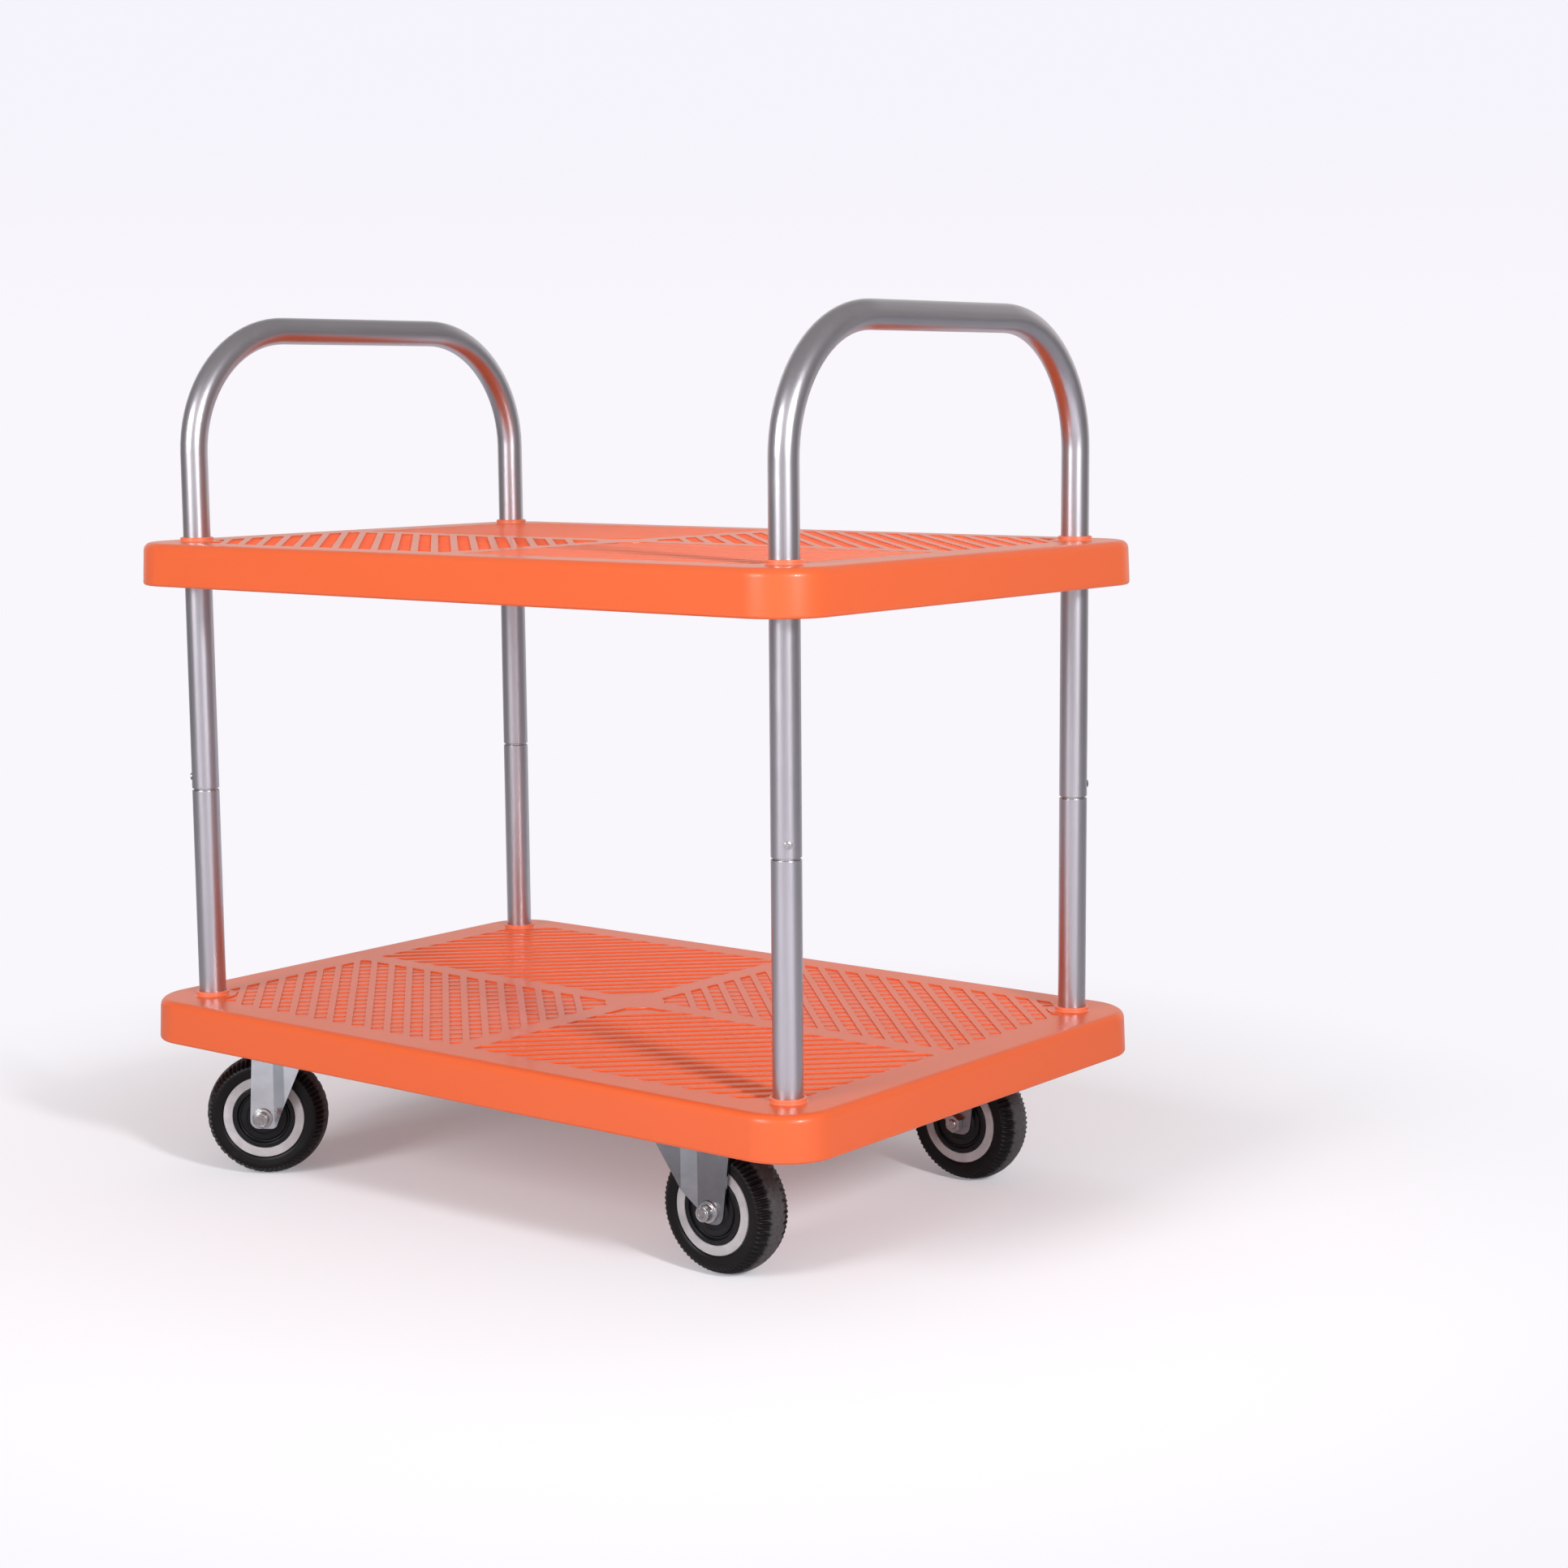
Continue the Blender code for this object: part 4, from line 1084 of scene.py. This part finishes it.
def add_tyre(sizes):
    """One tyre about the Y axis: a sector with a notch on each shoulder, repeated all round."""
    half = tyre_profile(sizes)
    tyre = trace("tyre", [(radius, along, 0) for radius, along in mirrored_profile(half)], closed=True)
    sectors = sizes.lugs // 2
    sector = 2 * math.pi / sectors
    columns = 12
    short, long = 0.0085, 0.0050
    left_notches = ((3, long), (9, short))
    right_notches = ((0, short), (6, long), (12, short))
    notch_slope = 0.0075
    shoulder = 0.0570
    shoulder_rise = 0.0018
    select_whole()
    spin(columns, sector)
    shape = bmesh.from_edit_mesh(tyre.data)
    for vert in shape.verts:
        radius = math.hypot(vert.co.x, vert.co.z)
        column = round(abs(math.atan2(vert.co.z, vert.co.x)) / sector * columns)
        width = abs(vert.co.y)
        if radius < shoulder + 0.0002:
            continue
        for notch, inner_end in left_notches if vert.co.y > 0 else right_notches:
            near = abs(column - notch)
            if near > 2 or width < inner_end:
                continue
            across = (1, 0.85, 0.2)[near]
            along = min(1, (width - inner_end) / notch_slope)
            rise = min(1, (radius - shoulder) / shoulder_rise)
            drop = sizes.lug_depth * across * along * rise
            vert.co.x *= (radius - drop) / radius
            vert.co.z *= (radius - drop) / radius
            vert.co.y -= math.copysign(drop * 0.3, vert.co.y)
    bmesh.update_edit_mesh(tyre.data)
    select_whole()
    spin(sectors - 1, 2 * math.pi - sector, apart=True)
    face_outwards(0.00002)
    mark_tread(tyre, sizes.radius)
    return tyre


def mark_tread(tyre, outer):
    """Mark the band of the tread that touches the floor, for the dust."""
    worn = tyre.data.attributes.new("tread", "FLOAT", "POINT")
    band_edge, band_fade = 0.0112, 0.0014
    dust_depth, dust_fade = 0.0022, 0.0008
    for index, vert in enumerate(tyre.data.vertices):
        radius = math.hypot(vert.co.x, vert.co.z)
        band = min(1, max(0, (band_edge - abs(vert.co.y)) / band_fade))
        worn.data[index].value = band * min(1, max(0, (radius - outer + dust_depth) / dust_fade))


def add_rim(sizes):
    """The grey rim with its ring on both sides and the hub between them."""
    outer = sizes.rim_radius
    well = outer - sizes.ring
    face = 0.0208
    half = [
        (outer, 0.0150),
        (outer, face - 0.0007),
        (outer - 0.0005, face),
        (well + 0.0006, face),
        (well, face - 0.0006),
        (well, 0.006),
        (0.0140, 0.006),
        (0.0125, 0.0075),
        (0.0125, 0.0208),
        (0.0122, 0.021),
        (HUB_BORE, 0.021),
    ]
    return lathe("rim", mirrored_profile(half), 128)


def add_cap(sizes):
    """A hub cap on the wheel's +Y side: lip, groove, a flat dish and a collar."""
    edge = sizes.rim_radius - sizes.ring - 0.0004
    face = 0.0216
    corners = [
        (edge, 0.0165),
        (edge, face),
        (edge - 0.0046, face),
        (edge - 0.0062, 0.0183),
        (0.0258, 0.0183),
        (0.0246, 0.0200),
        (0.0190, 0.0205),
        (0.0166, 0.0226),
        (HUB_BORE, 0.0226),
        (HUB_BORE, 0.0213),
        (0.0150, 0.0213),
        (0.0170, 0.0190),
        (0.0240, 0.0185),
        (0.0252, 0.0167),
        (edge - 0.0070, 0.0165),
    ]
    radii = [0, 0.0009, 0.0009, 0.0008, 0.0005, 0.0005, 0.001, 0.0007, 0, 0, 0, 0, 0, 0, 0]
    return lathe("cap", rounded(corners, radii, 4), 128)


def wheel_place(corner, side, trail):
    """Where a wheel's centre stands and how its axle is turned."""
    if corner.startswith("front"):
        return (FIXED_WHEEL_X, side * CASTER_Y, AXLE_HEIGHT), (0, 0, 0)
    x = SWIVEL_X - trail * math.cos(SWIVEL_YAW)
    y = side * CASTER_Y - trail * math.sin(SWIVEL_YAW)
    return (x, y, AXLE_HEIGHT), (0, 0, SWIVEL_YAW)


class TROLLEY_OT_add_wheels(bpy.types.Operator):
    """Model the four wheels: tyre, rim and hub caps"""

    bl_idname = "trolley.add_wheels"
    bl_label = "Wheels"

    def execute(self, context):
        sizes = context.scene.trolley_wheel
        trail = context.scene.trolley_caster.trail
        tyre = add_tyre(sizes)
        rim = add_rim(sizes)
        cap = add_cap(sizes)
        for corner, _, side in CORNERS:
            wheel = corner + "_wheel"
            place, turn = wheel_place(corner, side, trail)
            name = corner + "_block_tyre"
            node = corner + "_tyre"
            fit(tyre, name, place, turn, "tyre_rubber", wheel, node, angle=math.radians(50))
            fit(rim, corner + "_wheel_rim", place, turn, "rim_plastic", wheel, corner + "_rim")
            for word, way in (("_outer", side), ("_inner", -side)):
                name = corner + word + "_hub_cap"
                node = corner + word + "_cap"
                fit(cap, name, place, turn, "cap_plastic", wheel, node, turned=way < 0)
        discard(tyre, rim, cap)
        return {"FINISHED"}


def sheet_outline(path, thickness):
    """A bent sheet's section: a line of points and its offset on the inner side."""
    points = [Vector(point) for point in path]
    inner = []
    for index, here in enumerate(points):
        before = points[max(index - 1, 0)]
        after = points[min(index + 1, len(points) - 1)]
        ahead = (after - before).normalized()
        normal = Vector((ahead.y, -ahead.x))
        inner.append(tuple(here + normal * thickness))
    return [tuple(point) for point in points] + list(reversed(inner))


def add_legs(side_view, axle_x, sizes, curl):
    """Both legs of a caster: flat at the axle, a joggle outwards, then a web, curled out at its end."""
    outer = sizes.leg_inner + sizes.sheet
    back = min(x for x, _ in side_view) - OVERRUN
    front = max(x for x, _ in side_view) + OVERRUN
    low = min(z for _, z in side_view) - OVERRUN
    high = max(z for _, z in side_view) + OVERRUN
    first = axle_x + sizes.bend
    second = first + sizes.joggle_run
    web = outer + sizes.joggle
    end = web + (front - second) * math.tan(WEB_FLARE)
    corners = [(back, outer), (first, outer), (second, web)]
    if curl > 0:
        start = front - curl
        edge = web + (start - second) * math.tan(WEB_FLARE)
        end = edge + curl * math.tan(WEB_FLARE + math.radians(24))
        corners.append((start, edge))
    corners.append((front, end))
    path = rounded(corners, sizes.bend_radius, 5, closed=False)
    section = sheet_outline(path, sizes.sheet)
    legs = []
    for side in (1, -1):
        points = [(x, side * y, low) for x, y in section]
        leg = extrude("leg", points, (0, 0, high - low))
        view = extrude("side", [(x, -2 * end, z) for x, z in side_view], (0, 4 * end, 0))
        legs.append(combine(leg, view, "INTERSECT"))
    return legs


def add_plate(sizes):
    """A top plate with round corners and four screw holes."""
    half_x = sizes.plate_length / 2
    half_y = sizes.plate_width / 2
    low = CASTER_HEIGHT - sizes.plate_thickness
    plate = add_box("plate", (-half_x, -half_y, low), (half_x, half_y, CASTER_HEIGHT))
    round_edges(plate, upright, 0.008, 6)
    holes = []
    for centre in PLATE_HOLES:
        holes.append(add_rod("hole", centre, 0.0043, low - OVERRUN, CASTER_HEIGHT + OVERRUN, 32))
    return combine(plate, merge(*holes))


def axle_bore(axle_x, reach):
    """The cutter for the axle's holes."""
    profile = [(0, -reach), (AXLE_BORE, -reach), (AXLE_BORE, reach), (0, reach)]
    return put(lathe("bore", profile, 40, closed=False), (axle_x, 0, AXLE_HEIGHT))


def add_fork(sizes):
    """A swivel caster's fork, crown and legs in one pressing, about its own swivel axis."""
    crown_low = FORK_TOP - sizes.sheet
    axle_x = -sizes.trail
    foot = AXLE_HEIGHT - sizes.drop
    crown_back = 0.044
    crown_front = 0.020
    corners = [
        (-crown_back, FORK_TOP - 0.001),
        (axle_x - 0.0137, foot),
        (axle_x + 0.014, foot),
        (crown_front, FORK_TOP - 0.001),
    ]
    side_view = rounded(corners, [0, 0.009, 0.007, 0], 8)
    legs = add_legs(side_view, axle_x, sizes, curl=0)
    outer = sizes.leg_inner + sizes.sheet
    first = axle_x + sizes.bend
    second = first + sizes.joggle_run
    web = outer + sizes.joggle
    side = web + (crown_front - second) * math.tan(WEB_FLARE)
    nose = math.hypot(crown_front, side)
    sweep = math.atan2(side, crown_front)
    outline = [(-crown_back, -outer), (first, -outer), (second, -web)]
    half_steps = 12
    for step in range(2 * half_steps + 1):
        angle = sweep * (step / half_steps - 1)
        outline.append((nose * math.cos(angle), nose * math.sin(angle)))
    outline += [(second, web), (first, outer), (-crown_back, outer)]
    fork = extrude("fork", [(x, y, crown_low) for x, y in outline], (0, 0, sizes.sheet))
    for leg in legs:
        combine(fork, leg, "UNION")
    combine(fork, axle_bore(axle_x, 3 * outer))
    combine(fork, add_rod("pin_hole", (0, 0), 0.0066, crown_low - OVERRUN, FORK_TOP + OVERRUN, 40))
    return soften(fork, 0.0005)


def add_bracket(sizes):
    """A fixed caster's bracket, plate and legs in one pressing, with its long side towards +X."""
    axle_x = -0.0255
    foot = AXLE_HEIGHT - sizes.drop
    corners = [
        (axle_x - 0.0295, CASTER_HEIGHT - 0.001),
        (axle_x - 0.0165, foot),
        (axle_x + 0.0045, foot),
        (axle_x + 0.0795, CASTER_HEIGHT - 0.001),
    ]
    side_view = rounded(corners, [0, 0.011, 0.007, 0], 8)
    legs = add_legs(side_view, axle_x, sizes, curl=0.011)
    bracket = add_plate(sizes)
    for leg in legs:
        combine(bracket, leg, "UNION")
    combine(bracket, axle_bore(axle_x, 0.09))
    return soften(bracket, 0.0005)


def add_race():
    """The ball race between a swivel caster's plate and fork."""
    low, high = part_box("rear_left_ball_race")
    outer = (high.x - low.x) / 2
    corners = [
        (outer - 0.0035, low.z),
        (outer, low.z + 0.0030),
        (outer, high.z),
        (outer - 0.010, high.z),
        (outer - 0.010, low.z),
    ]
    profile = rounded(corners, [0.0018, 0.0018, 0.0006, 0, 0], 4)
    return put(lathe("race", profile, 96), turn=(math.pi / 2, 0, 0))


def add_kingpin(sizes):
    """The kingpin: flange in the plate, shank, and the riveted head below the crown."""
    low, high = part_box("rear_left_kingpin")
    seat = FORK_TOP - sizes.sheet - SEAT_GAP
    profile = [
        (0, high.z),
        (0.0085, high.z),
        (0.0085, high.z - 0.0015),
        (0.006, high.z - 0.0015),
        (0.006, seat),
        (0.0105, seat),
        (0.011, seat - 0.0005),
        (0.011, low.z + 0.0025),
        (0.0088, low.z + 0.0008),
        (0.0055, low.z),
        (0, low.z),
    ]
    return put(lathe("kingpin", profile, 64, closed=False), turn=(math.pi / 2, 0, 0))


class TROLLEY_OT_add_casters(bpy.types.Operator):
    """Model the forks, brackets, plates, races and kingpins"""

    bl_idname = "trolley.add_casters"
    bl_label = "Casters"

    def execute(self, context):
        sizes = context.scene.trolley_caster
        plain = (
            (add_fork(sizes), "fork", "_pressed_fork", SWIVEL_YAW, "zinc_steel", "_swivel"),
            (swivel_plate(sizes), "swivel_plate", "_top_plate", 0, "zinc_steel", ""),
            (add_race(), "ball_race", "_race", 0, "zinc_steel", ""),
            (add_kingpin(sizes), "kingpin", "_swivel_pin", 0, "bright_steel", ""),
        )
        bracket = add_bracket(sizes)
        for side, hand in ((1, "left"), (-1, "right")):
            corner = "rear_" + hand
            place = (SWIVEL_X, side * CASTER_Y, 0)
            for piece, node, ending, yaw, slot, swivel in plain:
                body = corner + swivel if swivel else "chassis"
                fit(piece, corner + ending, place, (0, 0, yaw), slot, body, corner + "_" + node)
        for side, hand in ((1, "left"), (-1, "right")):
            name = "front_" + hand + "_pressed_bracket"
            node = "front_" + hand + "_bracket"
            place = (FIXED_PLATE_X, side * CASTER_Y, 0)
            # The fixed brackets take the zinc finish darkened as painted shade.
            fit(bracket, name, place, HALF_TURN, "zinc_steel", "chassis", node, finish="dull_zinc_steel")
        discard(bracket, *(piece for piece, *_ in plain))
        return {"FINISHED"}


def swivel_plate(sizes):
    """A swivel caster's top plate, with the hole and seat of its kingpin."""
    plate = add_plate(sizes)
    low = CASTER_HEIGHT - sizes.plate_thickness
    combine(plate, add_rod("pin_hole", (0, 0), 0.0063, low - OVERRUN, CASTER_HEIGHT, 40))
    combine(plate, add_rod("seat", (0, 0), 0.0088, CASTER_HEIGHT - 0.0018, CASTER_HEIGHT + OVERRUN, 40))
    return soften(plate, 0.0004)


def add_axle_parts(sizes):
    """Bolt, nut and bush about the Y axis, the bolt's head on +Y."""
    seat = sizes.leg_inner + sizes.sheet + SEAT_GAP
    head = sizes.head_radius
    top = seat + sizes.head_height
    corners = [
        (0, top - 0.0005),
        (0.0031, top - 0.0005),
        (0.0035, top),
        (0.0053, top),
        (0.0057, top - 0.0006),
        (0.0063, top - 0.0004),
        (head, top - 0.0006),
        (head, seat + 0.0022),
        (0.0105, seat + 0.0016),
        (0.0112, seat),
        (0.005, seat),
        (0.005, 0.0012 - seat - 0.0090),
        (0.0042, -seat - 0.0090),
        (0, -seat - 0.0090),
    ]
    radii = [0, 0.0001, 0.0001, 0.0001, 0.0002, 0.0002, 0.0008, 0.0006, 0.0004, 0, 0, 0, 0, 0]
    bolt = lathe("bolt", rounded(corners, radii, 4, closed=False), 64, closed=False)
    nut = put(hex_nut("nut", radius=0.0095, height=0.007), (0, -seat, 0))
    half = sizes.leg_inner - SEAT_GAP
    section = mirrored_profile([(AXLE_BORE, half), (0.0068, half), (0.0071, half - 0.0003)])
    bush = lathe("bush", section, 48)
    return bolt, nut, bush


def hex_nut(name, radius, height):
    """A hexagon nut from nought towards -Y, chamfered at its outer face."""
    nut = hexagon(name, radius, 0, -height, 0.84)
    profile = [(0, OVERRUN), (AXLE_BORE, OVERRUN), (AXLE_BORE, -2 * height), (0, -2 * height)]
    return combine(nut, lathe("bore", profile, 40, closed=False))


class TROLLEY_OT_add_axles(bpy.types.Operator):
    """Model the axle bolts, nuts and bushes"""

    bl_idname = "trolley.add_axles"
    bl_label = "Axles"

    def execute(self, context):
        sizes = context.scene.trolley_caster
        plain = add_axle_parts(sizes)
        for corner, side_x, side in CORNERS:
            body = "chassis" if side_x > 0 else corner + "_swivel"
            place, turn = wheel_place(corner, side, sizes.trail)
            for piece in plain:
                name = corner + "_" + piece.name
                node = corner + "_axle_" + piece.name
                fit(piece, name, place, turn, "bright_steel", body, node, turned=side < 0)
        discard(*plain)
        return {"FINISHED"}


def add_area(name, place, aim, size, power):
    """A soft lamp that looks at a point."""
    bpy.ops.object.select_all(action="DESELECT")
    turn = (Vector(aim) - Vector(place)).to_track_quat("-Z", "Y").to_euler()
    bpy.ops.object.light_add(type="AREA", location=place, rotation=turn)
    lamp = bpy.context.object
    lamp.name = name
    lamp.data.shape = "RECTANGLE"
    lamp.data.size, lamp.data.size_y = size
    lamp.data.energy = power
    return lamp


def paint_floor(made, floor_colour):
    """Pale floor that keeps the shadows and fades into the backdrop, with painted shade that only
    reflections see: darker sides and a dark card on the camera's side.
    """
    tree = made.node_tree
    start = Shade(tree)
    place = start.node("ShaderNodeTexCoord", output="Object")
    seen = start.node("ShaderNodeLightPath", output="Is Camera Ray")
    mirrored = start.node("ShaderNodeLightPath", output="Is Glossy Ray")
    grain = place.noise(3.0, 4.0)
    plain = grain.blend(floor_colour, tone(floor_colour, 1.03))
    tint = seen.blend(plain, tone(floor_colour, FLOOR_GAIN))
    away = place.vector_math("LENGTH", output=1)
    facing = place.vector_math("NORMALIZE").vector_math("DOT_PRODUCT", TOWARDS_CAMERA, 1)
    # Painted shade for reflections only: glossy rays see the floor darker at its sides and on a dark card
    # in front of the long side towards the camera.
    sides = 1 - abs(facing).between(0.45, 0.75)
    along = place.axis("X")
    across = place.axis("Y")
    shade_card = along.between(-0.09, -0.03) * (1 - along.between(0.17, 0.24))
    shade_card = shade_card * (1 - across.between(-0.38, -0.33)) * across.between(-0.80, -0.70)
    painted_reflection_shade = (sides * away.between(0.40, 0.65) * 0.5 + shade_card * 0.55) * mirrored
    tint = painted_reflection_shade.blend(tint, REFLECTION_SHADE)
    fade = (FLOOR_LIFT + away.between(0.58, 1.25) * (1 - FLOOR_LIFT)) * seen
    surface = start.node("ShaderNodeBsdfDiffuse", None, {"Color": tint, "Roughness": 0.5})
    glow = start.node("ShaderNodeEmission", None, {"Color": (*HORIZON, 1)})
    mixed = start.node("ShaderNodeMixShader", None, {0: fade, 1: surface, 2: glow})
    output = tree.nodes["Material Output"]
    tree.links.new(mixed.socket, output.inputs["Surface"])


def paint_world(tree):
    """A studio: white backdrop behind, grey sides and ceiling, a bright wall behind the camera."""
    start = Shade(tree)
    way = start.node("ShaderNodeTexCoord", output="Generated")
    front = way.vector_math("DOT_PRODUCT", TOWARDS_CAMERA, 1)
    rise = way.axis("Z")
    behind = (0 - front).between(0.35, 0.80) * (1 - rise.between(0.30, 0.75))
    ahead = front.between(0.50, 0.80) * (1 - front.between(0.84, 0.97) * 0.55)
    ahead = ahead * (1 - rise.between(0.35, 0.80))
    level = 0.26 + behind * 0.60 + ahead * 0.84 + rise.between(0.2, 0.9) * 0.08
    light = start.node("ShaderNodeBackground", None, {"Color": STUDIO_LIGHT, "Strength": level})
    tint = rise.between(0.0, 0.12).blend(HORIZON, BACKDROP)
    backdrop = start.node("ShaderNodeBackground", None, {"Color": tint, "Strength": 1.0})
    seen = start.node("ShaderNodeLightPath", output="Is Camera Ray")
    mixed = start.node("ShaderNodeMixShader", None, {0: seen, 1: light, 2: backdrop})
    tree.links.new(mixed.socket, tree.nodes["World Output"].inputs["Surface"])


class TROLLEY_OT_set_stage(bpy.types.Operator):
    """Set the floor, the light and the camera"""

    bl_idname = "trolley.set_stage"
    bl_label = "Stage"

    def execute(self, context):
        bpy.ops.object.select_all(action="DESELECT")
        bpy.ops.mesh.primitive_circle_add(vertices=96, radius=9, fill_type="NGON", location=(0, 0, 0))
        floor = settle("studio_floor")
        made = bpy.data.materials.new("studio_floor_finish")
        made.use_nodes = True
        paint_floor(made, tone(context.scene.trolley_colours.floor))
        floor.data.materials.append(made)
        world = bpy.data.worlds.new("studio")
        context.scene.world = world
        world.use_nodes = True
        paint_world(world.node_tree)
        add_area("right_lamp", (2.98, -1.15, 1.60), aim=(0, 0, 0.35), size=(0.35, 0.5), power=56)
        add_area("front_lamp", (-0.20, -3.4, 1.7), aim=(0, 0, 0.35), size=(1.2, 1.4), power=54)
        top_lamp = add_area("top_lamp", (-0.6, 1.2, 3.2), aim=(0, 0, 0.2), size=(3.0, 2.4), power=21)
        top_lamp.visible_glossy = False
        camera = bpy.data.cameras.new("photo_view")
        picture_width = 1932
        focal_length = 3483
        camera.sensor_width = 36
        camera.lens = focal_length / picture_width * camera.sensor_width
        viewer = bpy.data.objects.new("photo_view", camera)
        context.scene.collection.objects.link(viewer)
        right = Vector((0.78709967, 0.61678308, -0.00726197))
        up = Vector((-0.0783687, 0.11167305, 0.99065003))
        back = Vector((0.61182714, -0.7791712, 0.13623431))
        eye = (1.951, -2.224, 0.829)
        viewer.matrix_world = Matrix.Translation(eye) @ Matrix((right, up, back)).transposed().to_4x4()
        context.scene.camera = viewer
        context.scene.view_settings.view_transform = "Standard"
        return {"FINISHED"}


STEPS = (
    TROLLEY_OT_add_decks,
    TROLLEY_OT_add_tubes,
    TROLLEY_OT_add_fasteners,
    TROLLEY_OT_add_wheels,
    TROLLEY_OT_add_casters,
    TROLLEY_OT_add_axles,
    TROLLEY_OT_set_stage,
)
GROUPS = {
    "trolley_deck": DeckSizes,
    "trolley_tube": TubeSizes,
    "trolley_wheel": WheelSizes,
    "trolley_caster": CasterSizes,
    "trolley_colours": FinishColours,
}


class TROLLEY_PT_steps(bpy.types.Panel):
    """The steps that model the trolley, and the sizes and colours they use."""

    bl_idname = "TROLLEY_PT_steps"
    bl_label = "Two-tier platform trolley"
    bl_space_type = "VIEW_3D"
    bl_region_type = "UI"
    bl_category = "Trolley"

    def draw(self, context):
        for step in STEPS:
            self.layout.operator(step.bl_idname)
        for name, group in GROUPS.items():
            box = self.layout.box()
            box.label(text=group.__name__)
            for prop in group.__annotations__:
                box.prop(getattr(context.scene, name), prop)


CLASSES = (*GROUPS.values(), *STEPS, TROLLEY_PT_steps)


def register():
    """Register the classes and the scene's settings."""
    for item in CLASSES:
        bpy.utils.register_class(item)
    for name, group in GROUPS.items():
        setattr(bpy.types.Scene, name, bpy.props.PointerProperty(type=group))


def unregister():
    """Take the settings and the classes away again."""
    for name in GROUPS:
        delattr(bpy.types.Scene, name)
    for item in reversed(CLASSES):
        bpy.utils.unregister_class(item)


def main():
    """Model the trolley step by step."""
    register()
    for step in STEPS:
        group, name = step.bl_idname.split(".")
        getattr(getattr(bpy.ops, group), name)()


if __name__ == "__main__":
    main()
